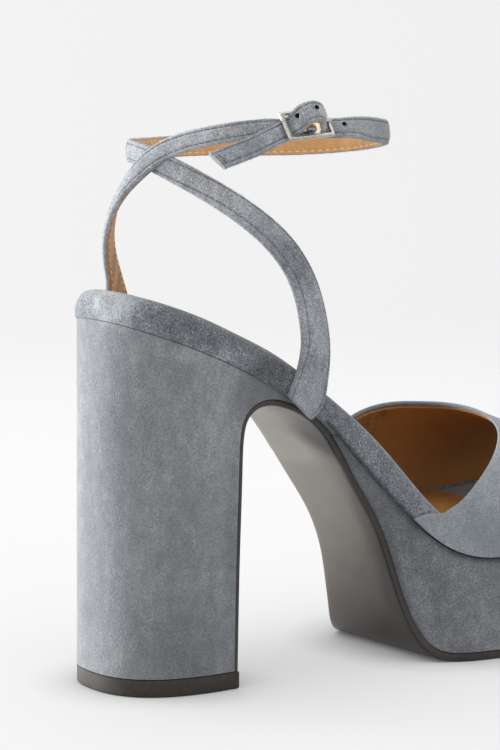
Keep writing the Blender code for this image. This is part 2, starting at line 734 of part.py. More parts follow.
def strap_across(forward, out, before):
    """The width direction of a strap, kept the same way round as before where its path doubles back."""
    across = forward.cross(out).normalized()
    if before is not None and across.dot(before) < 0:
        across = -across
    return across


def strap_rings(rows, fold_from=None):
    """Sections along a strap. Past fold_from its outer face follows the turn of its own path."""
    path = through(rows)
    length = path.knots[-1]
    fold_at = length if fold_from is None else path.knots[fold_from]
    count = int(fold_at / STRAP_STEP) + 1
    at = np.linspace(0, fold_at, count)
    if fold_from is not None:
        at = np.concatenate([at, path.knots[fold_from + 1 :]])
    run = path(at)
    ahead = path(at + 0.3)[:, :3] - path(at - 0.3)[:, :3]
    rings = []
    across = None
    for place, forward in zip(run, ahead):
        forward = Vector(forward).normalized()
        turned = ease((place[2] - RIM_TOP) / RIM_TO_ANKLE)
        level = Vector((turned * (place[0] - ANKLE_X) / ANKLE_LONG**2, place[1] / ANKLE_WIDE**2, 0))
        level.normalize()
        level.rotate(Quaternion((0, 0, 1), math.radians(-place[6])))
        lean = math.radians(place[5])
        out = level * math.cos(lean) + Vector((0, 0, math.sin(lean)))
        across = strap_across(forward, out, across)
        out = across.cross(forward).normalized()
        middle = Vector(place[:3])
        rings.append([middle + across * a + out * o for a, o in strap_section(place[3], place[4])])
    return rings


def slanted_tip(rings, slant):
    """Moves the last ring's points along the strap in step with their height: an end cut on the slant."""
    middle = sum(rings[-1], Vector()) / len(rings[-1])
    forward = (middle - sum(rings[-2], Vector()) / len(rings[-2])).normalized()
    for point in rings[-1]:
        point += forward * (slant * (point.z - middle.z))
    return rings


def slanted_base(rings, rise):
    """Moves the first ring's points along Z in step with their X: a base cut along the sole's edge."""
    middle = sum((point.x for point in rings[0])) / len(rings[0])
    for point in rings[0]:
        point.z -= rise * (point.x - middle)
    return rings


def cylinder(name, start, end, radius, sides):
    axis = (end - start).normalized()
    first = axis.orthogonal().normalized()
    second = axis.cross(first)
    rings = []
    for centre in (start, end):
        ring = []
        for i in range(sides):
            turn = 2 * math.pi * i / sides
            ring.append(centre + first * (radius * math.cos(turn)) + second * (radius * math.sin(turn)))
        rings.append(ring)
    return new_object(name, loft(rings, rungs=False), metal(name))


def box(name, low, high):
    """A block between two corners in the buckle's own axes."""
    rings = []
    for out in (low[2], high[2]):
        corners = ((low[0], low[1]), (high[0], low[1]), (high[0], high[1]), (low[0], high[1]))
        rings.append([in_buckle(a, b, out) for a, b in corners])
    return new_object(name, loft(rings, rungs=False), suede(name))


def combine(target, other, operation):
    modifier = target.modifiers.new(other.name, "BOOLEAN")
    modifier.operation = operation
    modifier.solver = "EXACT"
    modifier.object = other
    other.hide_render = True
    other.display_type = "WIRE"


def hole_cutters():
    """Cutters for the punched holes: the prong's lies along the prong, the others square to the strap."""
    reach = (PRONG_HOLE_FROM, PRONG_HOLE_TO)
    ends = [in_buckle(along, 0, prong_out(along)) for along in reach]
    cutters = [cylinder("hole_prong", *ends, PRONG_HOLE_RADIUS, HOLE_SIDES)]
    backwards = [-row.along for row in TAIL_IN_BUCKLE]
    path = Spline(backwards, [(row.across, row.out) for row in TAIL_IN_BUCKLE])
    for number, along in enumerate(HOLE_PLACES):
        around = np.array([0.0, SLOPE_STEP, -SLOPE_STEP]) - along
        (across, out), (_, behind), (_, ahead) = path(around)
        across += HOLE_ACROSS
        slope = (ahead - behind) / (2 * SLOPE_STEP)
        tip_out = HOLE_REACH / math.hypot(1, slope)
        tip_along = -slope * tip_out
        start = in_buckle(along - tip_along, across, out - tip_out)
        end = in_buckle(along + tip_along, across, out + tip_out)
        cutters.append(cylinder(f"hole_{number}", start, end, HOLE_RADIUS, HOLE_SIDES))
    return cutters


def ankle_strap():
    finish = suede("suede_strap")
    long_rows = LATERAL_STRAP + buckle_strap_rows(TAIL_IN_BUCKLE) + TAIL_END
    long_rings = slanted_tip(strap_rings(long_rows), TIP_SLANT)
    strap = new_object("ankle_strap", loft(long_rings, rungs=False), finish)
    to_bar = MEDIAL_STRAP + buckle_strap_rows(STRAP_TO_BAR)
    short_rings = slanted_base(strap_rings(to_bar + fold_rows(), fold_from=len(to_bar)), BASE_SLANT)
    short_strap = new_object("short_strap", loft(short_rings, rungs=False), finish)
    slot = box("prong_slot", (-SLOT_BACK, -SLOT_HALF, -SLOT_DEEP), (SLOT_FRONT, SLOT_HALF, SLOT_DEEP))
    combine(short_strap, slot, "DIFFERENCE")
    for cutter in hole_cutters():
        combine(strap, cutter, "DIFFERENCE")
    combine(strap, short_strap, "UNION")
    return strap


def buckle_frame():
    half, length, width = CENTRE_BAR_HALF, FRAME_HALF_LENGTH, FRAME_HALF_WIDTH
    columns = (-length, REAR_BAR - length, -half, half, length - FRONT_BAR, length)
    rows = (-width, SIDE_BAR - width, width - SIDE_BAR, width)
    windows = {(1, 1), (3, 1)}
    builder = bmesh.new()
    grid = {}
    for i, along in enumerate(columns):
        for j, across in enumerate(rows):
            back = in_buckle(along, across, frame_out(along) - FRAME_THICK / 2)
            grid[i, j] = builder.verts.new(back * MM)
    faces = []
    for i in range(len(columns) - 1):
        for j in range(len(rows) - 1):
            if (i, j) not in windows:
                corners = (grid[i, j], grid[i + 1, j], grid[i + 1, j + 1], grid[i, j + 1])
                faces.append(builder.faces.new(corners))
    raised = bmesh.ops.extrude_face_region(builder, geom=faces, use_keep_orig=True)
    moved = [part for part in raised["geom"] if isinstance(part, bmesh.types.BMVert)]
    bmesh.ops.translate(builder, verts=moved, vec=buckle_axes()[2] * FRAME_THICK * MM)
    frame = new_object("buckle_frame", builder, metal("buckle_metal"))
    bevel = frame.modifiers.new("soft_edges", "BEVEL")
    bevel.width = FRAME_BEVEL * MM
    bevel.segments = 2
    bevel.limit_method = "ANGLE"
    return frame


def buckle_prong():
    """An eye round the centre bar, with a pin that reaches over the front bar."""
    rings = []
    for step in range(PRONG_EYE_STEPS):
        turn = 2 * math.pi * step / PRONG_EYE_STEPS
        ring = []
        for across, radius in (
            (-PRONG_EYE_WIDTH / 2, PRONG_EYE_INNER),
            (PRONG_EYE_WIDTH / 2, PRONG_EYE_INNER),
            (PRONG_EYE_WIDTH / 2, PRONG_EYE_OUTER),
            (-PRONG_EYE_WIDTH / 2, PRONG_EYE_OUTER),
        ):
            ring.append(in_buckle(radius * math.cos(turn), across, FRAME_RISE + radius * math.sin(turn)))
        rings.append(ring)
    builder = bmesh.new()
    made = [[builder.verts.new(point * MM) for point in ring] for ring in rings]
    for first, second in zip(made, made[1:] + made[:1]):
        for i in range(4):
            j = (i + 1) % 4
            builder.faces.new((first[i], first[j], second[j], second[i]))
    prong = new_object("buckle_prong", builder, metal("prong_metal"))
    pin = cylinder(
        "prong_pin",
        in_buckle(PRONG_ROOT, 0, prong_out(PRONG_ROOT)),
        in_buckle(PRONG_REACH, 0, prong_out(PRONG_REACH)),
        PRONG_RADIUS,
        PRONG_SIDES,
    )
    combine(prong, pin, "UNION")
    return prong


def centre_on_base(pieces):
    """Hangs every piece on an empty that puts the origin under the middle of the shoe, on the floor."""
    bpy.context.view_layer.update()
    graph = bpy.context.evaluated_depsgraph_get()
    corners = []
    for piece in pieces:
        mesh = piece.evaluated_get(graph).to_mesh()
        points = np.empty(len(mesh.vertices) * 3, np.float32)
        mesh.vertices.foreach_get("co", points)
        corners.append(points.reshape(-1, 3).min(axis=0))
        corners.append(points.reshape(-1, 3).max(axis=0))
    low, high = np.min(corners, axis=0), np.max(corners, axis=0)
    root = bpy.data.objects.new("sandal", None)
    bpy.context.scene.collection.objects.link(root)
    root.location = (-(low[0] + high[0]) / 2, -(low[1] + high[1]) / 2, -low[2])
    for made in list(bpy.context.scene.collection.objects):
        if made is not root:
            made.parent = root


def main():
    for old in list(bpy.data.objects):
        bpy.data.objects.remove(old, do_unlink=True)
    makers = (
        heel_block,
        heel_top_piece,
        outsole,
        platform,
        footbed,
        sock_lining,
        vamp,
        ankle_strap,
        buckle_frame,
        buckle_prong,
    )
    centre_on_base([make() for make in makers])


main()
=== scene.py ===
"""Looks of the platform sandal: suede, lining leather, sole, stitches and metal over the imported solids.

Tables and sizes are in millimetres in the shoe's own frame: X runs from the back of the heel to the toe,
Y to the inner (medial) side, Z up from the floor. Meshes are in metres in the part's frame.
"""

import math
from collections import namedtuple

import bmesh
import bpy
import numpy as np
from mathutils.kdtree import KDTree
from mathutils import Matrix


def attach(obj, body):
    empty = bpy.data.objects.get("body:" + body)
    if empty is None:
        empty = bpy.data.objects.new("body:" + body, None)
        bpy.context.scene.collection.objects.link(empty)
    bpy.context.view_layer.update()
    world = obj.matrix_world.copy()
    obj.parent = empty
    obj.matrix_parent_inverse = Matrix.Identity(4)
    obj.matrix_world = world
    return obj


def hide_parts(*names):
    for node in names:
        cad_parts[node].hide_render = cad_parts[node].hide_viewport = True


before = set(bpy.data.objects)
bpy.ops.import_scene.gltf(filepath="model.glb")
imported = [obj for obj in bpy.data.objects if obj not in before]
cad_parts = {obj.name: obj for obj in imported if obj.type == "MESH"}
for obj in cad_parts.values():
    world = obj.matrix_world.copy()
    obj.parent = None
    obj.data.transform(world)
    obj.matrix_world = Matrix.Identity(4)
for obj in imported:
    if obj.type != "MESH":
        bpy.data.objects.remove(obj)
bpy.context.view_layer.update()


def table(row, places):
    return [row(*place) for place in places]


MM = 0.001
GAP = 0.3
SHARP_ANGLE = 42.0
# The part's origin, in the shoe's own frame
ORIGIN = np.array([110.537, 0.091, 0.0])

# Footbed: plan length, rounding of its two ends, and the lift of the toe
FOOT_LENGTH = 219.0
HEEL_ROUND = 33.0
HEEL_POWER = 2.5
TOE_ROUND_LATERAL = 56.0
TOE_POWER_LATERAL = 1.85
TOE_ROUND_MEDIAL = 48.0
TOE_POWER_MEDIAL = 2.0
TOE_SHIFT = 4.0
TOE_SHIFT_START = 140.0
SPRING_START = 158.0
TOE_SPRING = 9.0
OUTLINE_STATIONS = 170
EDGE_SAMPLES = 4001
TIP_ARC = 0.8
SEAT_REACH = 0.5
SoleRow = namedtuple("SoleRow", "x z thick lateral medial")
FOOTBED = table(SoleRow, [
    (0, 119.6, 10.0, 27.0, 27.0),
    (12, 114.9, 10.2, 27.0, 27.0),
    (25, 109.7, 10.1, 27.0, 27.0),
    (36, 104.9, 9.8, 27.0, 27.0),
    (47, 99.6, 9.8, 26.7, 26.3),
    (57, 94.2, 9.4, 26.0, 25.0),
    (65, 89.7, 8.6, 25.5, 24.0),
    (71, 85.8, 8.0, 25.4, 23.2),
    (76, 81.6, 8.3, 25.6, 22.7),
    (82, 75.1, 9.6, 26.2, 22.4),
    (92, 63.6, 10.5, 28.3, 22.8),
    (104, 50.2, 9.7, 31.6, 24.9),
    (116, 39.8, 9.0, 34.7, 28.2),
    (129, 35.1, 9.3, 37.5, 32.3),
    (145, 34.7, 9.4, 39.3, 36.2),
    (165, 34.7, 9.4, 40.0, 38.0),
    (219, 34.7, 9.0, 40.0, 38.0),
])

# Cross-section of the footbed's padded rim: how far in from the edge, at which share of the thickness
RimRow = namedtuple("RimRow", "inset share")
RIM = table(RimRow, [
    (1.5, -0.01),
    (0.5, 0.03),
    (0.0, 0.15),
    (-0.5, 0.38),
    (-0.25, 0.64),
    (0.65, 0.87),
    (2.7, 1.0),
])
RIM_STEPS = 22
# Sock lining, and the recess for it in the top of the footbed
RECESS_DEEP = 1.0
RECESS = [(2.9, 0.15), (3.05, 0.5), (3.1, RECESS_DEEP)]
SOCK_INSET = 3.4
SOCK_EDGE = [(0.0, 0.0), (0.0, 0.3), (0.08, 0.48), (0.25, 0.58), (0.8, 0.6)]
SOCK_END = 168.0

# Outer face of the outsole from the foot of the heel's breast to the ball
OUTSOLE = table(SoleRow, [
    (39.4, 5.8, 1.5, 25.8, 25.8),
    (40.3, 45.0, 1.5, 25.9, 25.8),
    (41.3, 72.0, 1.5, 25.9, 25.6),
    (42.1, 82.0, 1.6, 25.8, 25.4),
    (43.3, 85.8, 1.7, 25.7, 25.2),
    (46.0, 88.6, 1.8, 25.4, 24.7),
    (50.5, 90.0, 1.9, 24.8, 23.6),
    (58.4, 88.9, 2.0, 23.7, 20.6),
    (68.3, 84.6, 2.1, 22.7, 18.0),
    (73.8, 80.3, 2.1, 22.7, 17.6),
    (78.9, 73.6, 2.1, 23.0, 17.1),
    (86.2, 61.4, 2.1, 23.3, 15.3),
    (95.6, 46.6, 2.1, 23.5, 14.5),
    (101.1, 32.5, 2.1, 24.3, 14.5),
    (103.8, 22.0, 2.1, 26.2, 15.6),
    (106.6, 12.8, 2.2, 28.6, 17.6),
    (110.2, 5.3, 2.4, 31.8, 20.8),
    (114.8, 1.3, 2.6, 34.6, 24.4),
    (120.5, 0.0, 2.7, 36.9, 28.6),
])
BALL_X = 121.0
FOREFOOT_X = 126.0
FOREFOOT_THICK = 2.7
OUTSOLE_STATIONS = 150
FOREFOOT_STATIONS = 90
EVEN_STEP = 6.0
EVEN_TURN = 0.17
PATH_SAMPLES = 3000
SOLE_REACH = 0.2
# Outsole's edge from its lower face up: depth in the sole and how far in from the side
EdgeRow = namedtuple("EdgeRow", "depth inset")
SOLE_EDGE = table(EdgeRow, [(0.0, 1.3), (0.08, 0.7), (0.3, 0.25), (0.7, 0.0), (9.0, 0.0)])
SOLE_SLATS = 21
# How fast the sole's leather is painted lighter along each axis, per metre: painted reflection and light
# towards the top and the inner side, painted shade towards the floor
SOLE_PAINTED_LIGHT = (0.0, 7.8, 11.1)

# Platform: where it begins, its step out to the face of the vamp, its bulge and its upper edge
PLATFORM_FROM = 78.0
PLATFORM_TIP = 0.2
STEP_FROM = 101.0
STEP_TO = 114.0
PLATFORM_BULGE = 0.7
BULGE_PART = 12
PLATFORM_LIP = 1.0
LIP_PART = 4
LIP_EDGE = [(1.0, 0.0), (0.3, 0.6)]
LIP_FALL = 2.0
PLATFORM_STEPS = 12

# Heel
HEEL_LEAN = 0.9
TOP_PIECE_THICK = 5.5
TOP_PIECE_FRONT = 39.4
TOP_PIECE_EDGE = [(0.7, 0.0), (0.25, 0.15), (0.0, 0.5), (0.0, 5.2), (0.15, TOP_PIECE_THICK)]
WING_END = 68.0
HEEL_ARC_FROM = 0.02
HEEL_ARC_POINTS = 60
HEEL_SIDE_POINTS = 12
HeelRow = namedtuple("HeelRow", "x lateral medial")
HEEL = table(HeelRow, [
    (0, 26.1, 26.1),
    (20, 26.1, 26.1),
    (33, 26.1, 26.1),
    (40, 25.9, 25.8),
    (47, 25.3, 24.8),
    (60, 23.6, 21.6),
])

# Vamp: a wall that stands round the footbed, with an arch over it
WALL = 1.9
SUEDE_WALL = 1.25
WALL_RISE = 8.5
ARCH_SHARE = 0.86
ARCH_POWER = 2.2
RIDGE_SHIFT = 4.0
VAMP_LINES = 150
VAMP_STATIONS = 60
TOE_EDGE_MIDDLE = 199.0
TOE_EDGE_SIDE = 9.0
LINING_GAP = 0.02
LINING_BACK = 2.0
LINING_FOOT = 0.975
FOLD_POINTS = 8
CrownRow = namedtuple("CrownRow", "x z")
CROWN = table(CrownRow, [
    (96, 114.0),
    (116, 101.0),
    (128, 93.6),
    (140, 86.8),
    (152, 80.6),
    (166, 75.2),
    (182, 70.0),
    (200, 65.4),
    (214, 62.0),
])
ToplineRow = namedtuple("ToplineRow", "round x")
TOPLINE = table(ToplineRow, [
    (-1.0, 104.5),
    (-0.86, 110.5),
    (-0.79, 117.5),
    (-0.70, 126.0),
    (-0.61, 133.5),
    (-0.50, 140.5),
    (-0.34, 147.5),
    (-0.15, 151.7),
    (0.05, 151.7),
    (0.22, 146.6),
    (0.34, 138.4),
    (0.44, 129.0),
    (0.54, 118.6),
    (0.70, 106.5),
    (0.86, 98.0),
    (1.0, 93.0),
])

# Straps: middle line, width, how far the outer face looks upwards and is turned inwards, and thickness
ANKLE_X = 64.0
ANKLE_LONG = 48.0
ANKLE_WIDE = 31.0
RIM_TOP = 114.0
RIM_TO_ANKLE = 20.0
STRAP_STEP = 0.8
STRAP_REACH = 0.3
BASE_SLANT = 0.5
TIP_SLANT = 0.35
StrapRow = namedtuple("StrapRow", "x y z width lean turn thick", defaults=(0, 0, 2.5))
LATERAL_STRAP = table(StrapRow, [
    (62.1, -27.6, 89.3, 12.4),
    (64.9, -27.6, 92.9, 13.9),
    (66.2, -27.8, 96.8, 13.1),
    (67.0, -28.5, 102.5, 12.0),
    (67.1, -29.2, 109.3, 10.9),
    (65.3, -30.1, 118.4, 10.1),
    (62.5, -30.7, 126.7, 9.5),
    (58.0, -31.0, 134.9, 8.9),
    (51.8, -30.8, 142.4, 8.6),
    (44.4, -29.5, 149.1, 8.2),
    (36.4, -26.7, 155.2, 7.9),
    (28.8, -21.7, 160.8, 7.6),
    (23.0, -12.5, 166.0, 7.4),
    (20.5, 0.0, 170.0, 7.2),
    (25.5, 15.5, 171.0, 7.1),
    (41.0, 28.0, 171.0, 7.0),
    (65.5, 32.8, 171.4, 7.0),
    (87.4, 27.8, 171.1, 7.0),
    (103.6, 16.0, 171.8, 7.1),
    (110.8, 0.5, 173.9, 7.5),
    (106.7, -13.5, 175.8, 7.6, 2),
    (96.8, -24.6, 177.1, 7.8, 6),
    (84.0, -31.6, 178.3, 7.6, 14),
])
TAIL_END = table(StrapRow, [
    (39.9, -34.8, 174.0, 6.7, 31, 0, 2.4),
    (32.6, -34.7, 171.7, 6.7, 30, 0, 2.4),
    (25.3, -34.3, 169.4, 6.6, 30, 0, 2.4),
])
MEDIAL_STRAP = table(StrapRow, [
    (31.0, 29.1, 104.6, 11.5),
    (30.0, 29.3, 111.5, 11.0),
    (28.3, 28.6, 118.4, 10.2),
    (25.8, 26.0, 124.7, 9.5),
    (22.9, 22.7, 130.5, 8.9, 0, 2),
    (19.5, 19.2, 137.2, 8.4, 0, 6),
    (16.7, 15.0, 144.5, 8.1, 0, 13),
    (15.4, 10.2, 151.8, 7.8, 0, 19),
    (15.7, 4.6, 158.9, 7.4, 0, 22),
    (17.6, -1.6, 165.4, 6.9, 0, 20),
    (20.5, -8.2, 170.7, 6.5, 5, 12),
    (25.4, -15.4, 174.5, 6.2, 10, 5),
    (32.0, -22.4, 176.8, 6.1, 15),
    (39.6, -26.9, 178.2, 6.2, 24, 0, 2.4),
])

# Buckle: its centre and long axis, the upward look of its face, and the strap's route through it
BUCKLE_CENTRE = np.array([58.8, -34.4, 179.5])
BUCKLE_ALONG = np.array([1.0, -0.084, 0.122])
BUCKLE_LEAN = 31.0
FRAME_RISE = 1.2
FOLD_RADIUS = 2.1
FOLD_THICK = 1.6
FOLD_TURN = 215.0
FOLD_STEPS = 9
BuckleRow = namedtuple("BuckleRow", "along across out width thick", defaults=(2.4,))
TAIL_IN_BUCKLE = table(BuckleRow, [
    (16.0, -1.7, -2.3, 6.8),
    (12.0, -1.1, -2.6, 6.7),
    (9.2, -0.5, -2.7, 6.6),
    (7.0, -0.1, -1.9, 6.6),
    (5.9, 0.1, 0.4, 6.6),
    (5.0, 0.3, 3.3, 6.7),
    (3.3, 0.8, 6.2, 6.9),
    (0.3, 1.2, 7.4, 7.1),
    (-2.5, 1.1, 6.0, 7.2),
    (-4.1, 0.4, 3.1, 7.0),
    (-5.4, 0.15, 0.7, 6.9),
    (-7.2, -0.2, -0.7, 6.8),
    (-9.4, -0.8, -0.8, 6.6),
    (-12.4, -1.6, -0.6, 6.6),
])
STRAP_TO_BAR = table(BuckleRow, [
    (-12.5, 3.0, -3.4, 6.4),
    (-8.7, 2.6, -3.6, 6.5),
    (-6.0, 1.7, -3.3, 6.6, 2.3),
    (-3.6, 0.7, -1.9, 6.6, 2.0),
    (-1.4, 0.2, -1.0, 6.6, 1.7),
])
# Places across a strap, from its edge: dense along the stitches
EDGE_STEPS = (0.0, 0.02, 0.12, 0.3, 0.5, 0.75, 0.95, 1.15, 1.35, 1.6, 2.1)
MIDDLE_STEPS = 5
STITCH_INSET = 1.15
# How far the stitches of the lateral strap lie to one side between rim and loop
SEAM_SHIFT = 0.4
SEAM_FROM = 98.0
SEAM_TO = 170.0
SEAM_EASE = 14.0
TROUGH_DEEP = 0.36
TROUGH_HALF = 0.3
OUTER_POWER = 3.2
INNER_POWER = 8.0
LOOP_FROM = 166.0
SLANT_REACH = 12.0
# Stray fibres of the suede: how many on a square millimetre, their length and half their width
FUZZ_DENSITY = 4.0
FUZZ_LENGTH = 0.65
FUZZ_SHORTEST = 0.4
FUZZ_HALF = 0.035
FUZZ_LEAN = 0.9
FUZZ_SEED = 7
# Stitches: the form of a thread, then pitch and length on the suede and on the lining
STITCH_STEPS = 7
THREAD_SIDES = 6
THREAD_LIFT = 0.55
THREAD_DIP = 1.7
THREAD_TAPER = 0.9
THREAD_THINNEST = 0.05
DARK_PITCH = 2.15
DARK_STITCH = 1.85
DARK_RADIUS = 0.12
PALE_PITCH = 2.6
PALE_STITCH = 1.7
PALE_RADIUS = 0.22
STITCH_SKIP = 1.6
TIP_STITCH_ROW = 3
# Buckle: sizes of its frame, prong, slot, punched holes and ridges
FRAME_HALF_LENGTH = 9.0
FRAME_HALF_WIDTH = 5.0
REAR_BAR = 2.0
FRONT_BAR = 1.2
SIDE_BAR = 1.1
FRAME_THICK = 1.5
FRAME_SLOPE = -0.1
FRAME_BEVEL = 0.45
BEVEL_STEPS = 4
WINDOWS = {(1, 1), (3, 1)}
CENTRE_BAR_HALF = 0.8
PRONG_HEIGHT = 2.55
PRONG_ROOT = 1.0
PRONG_DROP = 0.055
PRONG_HOLE_RADIUS = 1.1
PRONG_HOLE_FROM = 2.9
PRONG_HOLE_TO = 8.2
SLOT_HALF = 1.6
SLOT_BACK = 2.6
SLOT_FRONT = 4.0
SLOT_DEEP = 6.0
HOLE_PLACES = (15.0, 1.0, -3.3)
HOLE_ACROSS = 0.7
HOLE_RADIUS = 0.8
HOLE_SIDES = 24
ASKEW = (0.3, 0.5, 0.8)
HOLE_REACH = 2.0
SLOPE_STEP = 0.1
RIDGES = 15
RIDGE_SPAN = 4.2
RIDGE_FROM = -8.7
RIDGE_TO = -7.3
RIDGE_RADIUS = 0.2

# Brushed places of the suede, and painted light and shade where light falls or shade gathers: centre,
# reach along each axis, and how much lighter or darker it is
Patch = namedtuple("Patch", "x y z reach_x reach_y reach_z tone")
NAP_AND_LIGHT_PATCHES = table(Patch, [
    (1, -10, 126, 9, 11, 8, 0.42),
    (20, -26, 121, 12, 14, 5.5, -0.12),
    (38, -27, 113, 14, 12, 5.0, -0.20),
    (54, -27, 104, 12, 12, 5.0, -0.22),
    (28, -27, 109, 22, 8, 3.0, 0.12),
    (80, -28, 82, 18, 12, 16, -0.10),
    (102, -31, 60, 14, 12, 12, -0.08),
    (20, -26, 50, 10, 9, 24, -0.05),
    (26, -26, 84, 8, 8, 18, 0.05),
    (18, -26, 14, 20, 12, 18, -0.22),
    (38, -26, 46, 5, 8, 40, -0.14),
    (48, -25, 93, 12, 8, 9, -0.24),
    (150, -36, 62, 44, 22, 16, 0.12),
    (104, -30, 22, 8, 10, 14, 0.10),
    (27, -18, 176, 13, 14, 8, 0.20),
    (57, -31, 136, 11, 7, 11, -0.20),
    (36, -27, 155, 10, 8, 8, 0.12),
    (33, -35, 172, 12, 4, 7, -0.12),
    (98, -22, 177, 14, 14, 7, -0.12),
])
# Painted shade inside the vamp, on its lining
LINING_SHADE_PATCHES = table(Patch, [(126, 34, 70, 22, 30, 45, -0.40)])
# Painted shade and painted highlights on the sole's leather
SOLE_LIGHT_AND_SHADE_PATCHES = table(Patch, [
    (76, -22, 78, 13, 18, 9, -0.60),
    (66, -24, 86, 14, 16, 7, -0.24),
    (80, 6, 71, 7, 22, 6, 0.34),
    (95, -25, 46, 16, 9, 32, -0.28),
])
# Painted shade beside grooves and seams: how dark, half its width, and where the rim's seam lies
Shade = namedtuple("Shade", "dark half")
GROOVE_SHADE = Shade(0.12, 0.25)
RIM_SHADE = Shade(0.5, 0.7)
RIM_SEAM_RING = 4
RIM_SEAM_FROM = 74.0
PLATFORM_SHADE = Shade(0.5, 1.0)
# Noises of the materials, their weights in colour and gloss, and the sheen of the suede
Noise = namedtuple("Noise", "scale detail stretch turn", defaults=((1, 1, 1), (0, 0, 0)))
CLOUDS = Noise(60.0, 2.0, (1.0, 1.0, 0.45))
SMUDGES = Noise(300.0, 4.0, (1.0, 1.0, 0.6))
FIBRES = Noise(1900.0, 2.0)
STREAKS = Noise(260.0, 4.0, (1.0, 1.0, 0.18), (0.5, 0.4, 0.3))
PORES = Noise(1300.0, 2.0)
SOLE_MARKS = Noise(90.0, 4.0)
MARK_DETAIL = 4.0
STREAK_WEIGHT = 1.6
PORE_WEIGHT = 0.3
MARK_WEIGHT = 0.12
GLOSS_CHANGE = 0.16
SHEEN = 0.4
SHEEN_ROUGHNESS = 0.45
# Screen colours: the deepest shade of a lining, used for its painted shade, the sheen of the suede, and
# the sole from its painted shade to its painted light
DEEP_LINING = (90, 56, 26)
SHEEN_TINT = (228, 231, 233)
SOLE_TONES = [(0.0, (25, 20, 18)), (0.25, (60, 54, 50)), (0.6, (101, 97, 91)), (1.0, (123, 119, 112))]

# Camera: the photograph's turn and rise, its distance, and its focal length in pixels of a frame 750 high
CAMERA_TURN = math.radians(35.0)
CAMERA_RISE = math.radians(6.918)
CAMERA_FAR = 900.0
CAMERA_FOCAL = 2737.75
CAMERA_AIM = np.array([61.791, 0.0, 97.081])
PHOTO_HEIGHT = 750
SENSOR = 36.0
CLIP_START = 0.01

# Light: a white room, one large soft lamp from behind and the left, and a floor that fades into the room
ROOM_LEFT = 1.0
ROOM_RIGHT = 0.77
ROOM_ACROSS = (math.cos(CAMERA_TURN), -math.sin(CAMERA_TURN), 0.0)
ROOM_COLOUR = (1.0, 1.0, 1.0, 1.0)
ROOM_TOP = 0.6
ROOM_TOP_FROM = 0.15
KEY_FROM = np.array([-0.52, 0.85, 0.05])
KEY_FAR = 3.2
KEY_WIDE = 2.6
KEY_HIGH = 0.5
KEY_POWER = 215.0
FLOOR_RADIUS = 1.2
FLOOR_SOLID = 0.3
FLOOR_COLOUR = (182, 182, 182)
FLOOR_GLOW = 0.31
FLOOR_NEAR = 0.02
FLOOR_SIDES = 96
FLOOR_DROP = 0.0001


class Spline:
    """A natural cubic through its knots; values may be numbers or rows of numbers."""

    def __init__(self, knots, values):
        self.knots = np.asarray(knots, float)
        self.values = np.asarray(values, float)
        step = np.diff(self.knots)
        count = len(self.knots)
        matrix = np.eye(count)
        right = np.zeros_like(self.values)
        for i in range(1, count - 1):
            matrix[i, i - 1 : i + 2] = step[i - 1], 2 * (step[i - 1] + step[i]), step[i]
            rise_after = (self.values[i + 1] - self.values[i]) / step[i]
            rise_before = (self.values[i] - self.values[i - 1]) / step[i - 1]
            right[i] = 6 * (rise_after - rise_before)
        self.bend = np.linalg.solve(matrix, right)

    def __call__(self, at):
        at = np.clip(at, self.knots[0], self.knots[-1])
        i = np.clip(np.searchsorted(self.knots, at, side="right") - 1, 0, len(self.knots) - 2)
        step = self.knots[i + 1] - self.knots[i]
        after = (at - self.knots[i]) / step
        before = 1 - after
        if self.values.ndim == 2:
            step, after, before = step[:, None], after[:, None], before[:, None]
        curve = (before**3 - before) * self.bend[i] + (after**3 - after) * self.bend[i + 1]
        return before * self.values[i] + after * self.values[i + 1] + step**2 / 6 * curve


def along_x(rows, column):
    return Spline([row.x for row in rows], [getattr(row, column) for row in rows])


def running(steps):
    """Running total of steps, from 0."""
    return np.concatenate([[0], np.cumsum(steps)])


def gone_along(line):
    """Length along a line of points up to each of them."""
    return running(np.linalg.norm(np.diff(line, axis=0), axis=1))


def through(rows):
    """A spline through rows of numbers, run along the length of their first three columns."""
    rows = np.asarray(rows, float)
    return Spline(gone_along(rows[:, :3]), rows)


def xyz(x, y, z):
    """Points from coordinates, of which one may be the same for all."""
    return np.stack(np.broadcast_arrays(x, y, z), -1)


def ease(share):
    share = np.clip(share, 0, 1)
    return share * share * (3 - 2 * share)


def unit(vectors):
    return vectors / np.linalg.norm(vectors, axis=-1, keepdims=True)


FOOTBED_Z = along_x(FOOTBED, "z")
FOOTBED_THICK = along_x(FOOTBED, "thick")
FOOTBED_LATERAL = along_x(FOOTBED, "lateral")
FOOTBED_MEDIAL = along_x(FOOTBED, "medial")
CROWN_Z = along_x(CROWN, "z")
HEEL_LATERAL = along_x(HEEL, "lateral")
HEEL_MEDIAL = along_x(HEEL, "medial")
TOPLINE_X = Spline([row.round for row in TOPLINE], [row.x for row in TOPLINE])


def toe_lift(x):
    return TOE_SPRING * np.clip((x - SPRING_START) / (FOOT_LENGTH - SPRING_START), 0, None) ** 2


def seat(x):
    """Height of the footbed's underside."""
    return FOOTBED_Z(x) + toe_lift(x)


def seat_normal(x):
    """X and Z of the unit normal of the footbed's underside."""
    slope = (seat(x + SEAT_REACH) - seat(x - SEAT_REACH)) / (2 * SEAT_REACH)
    size = np.sqrt(1 + slope**2)
    return -slope / size, 1 / size


def round_end(share, power):
    """Width factor of a rounded end, from 0 at its tip to 1."""
    return (1 - (1 - np.clip(share, 0, 1)) ** power) ** (1 / power)


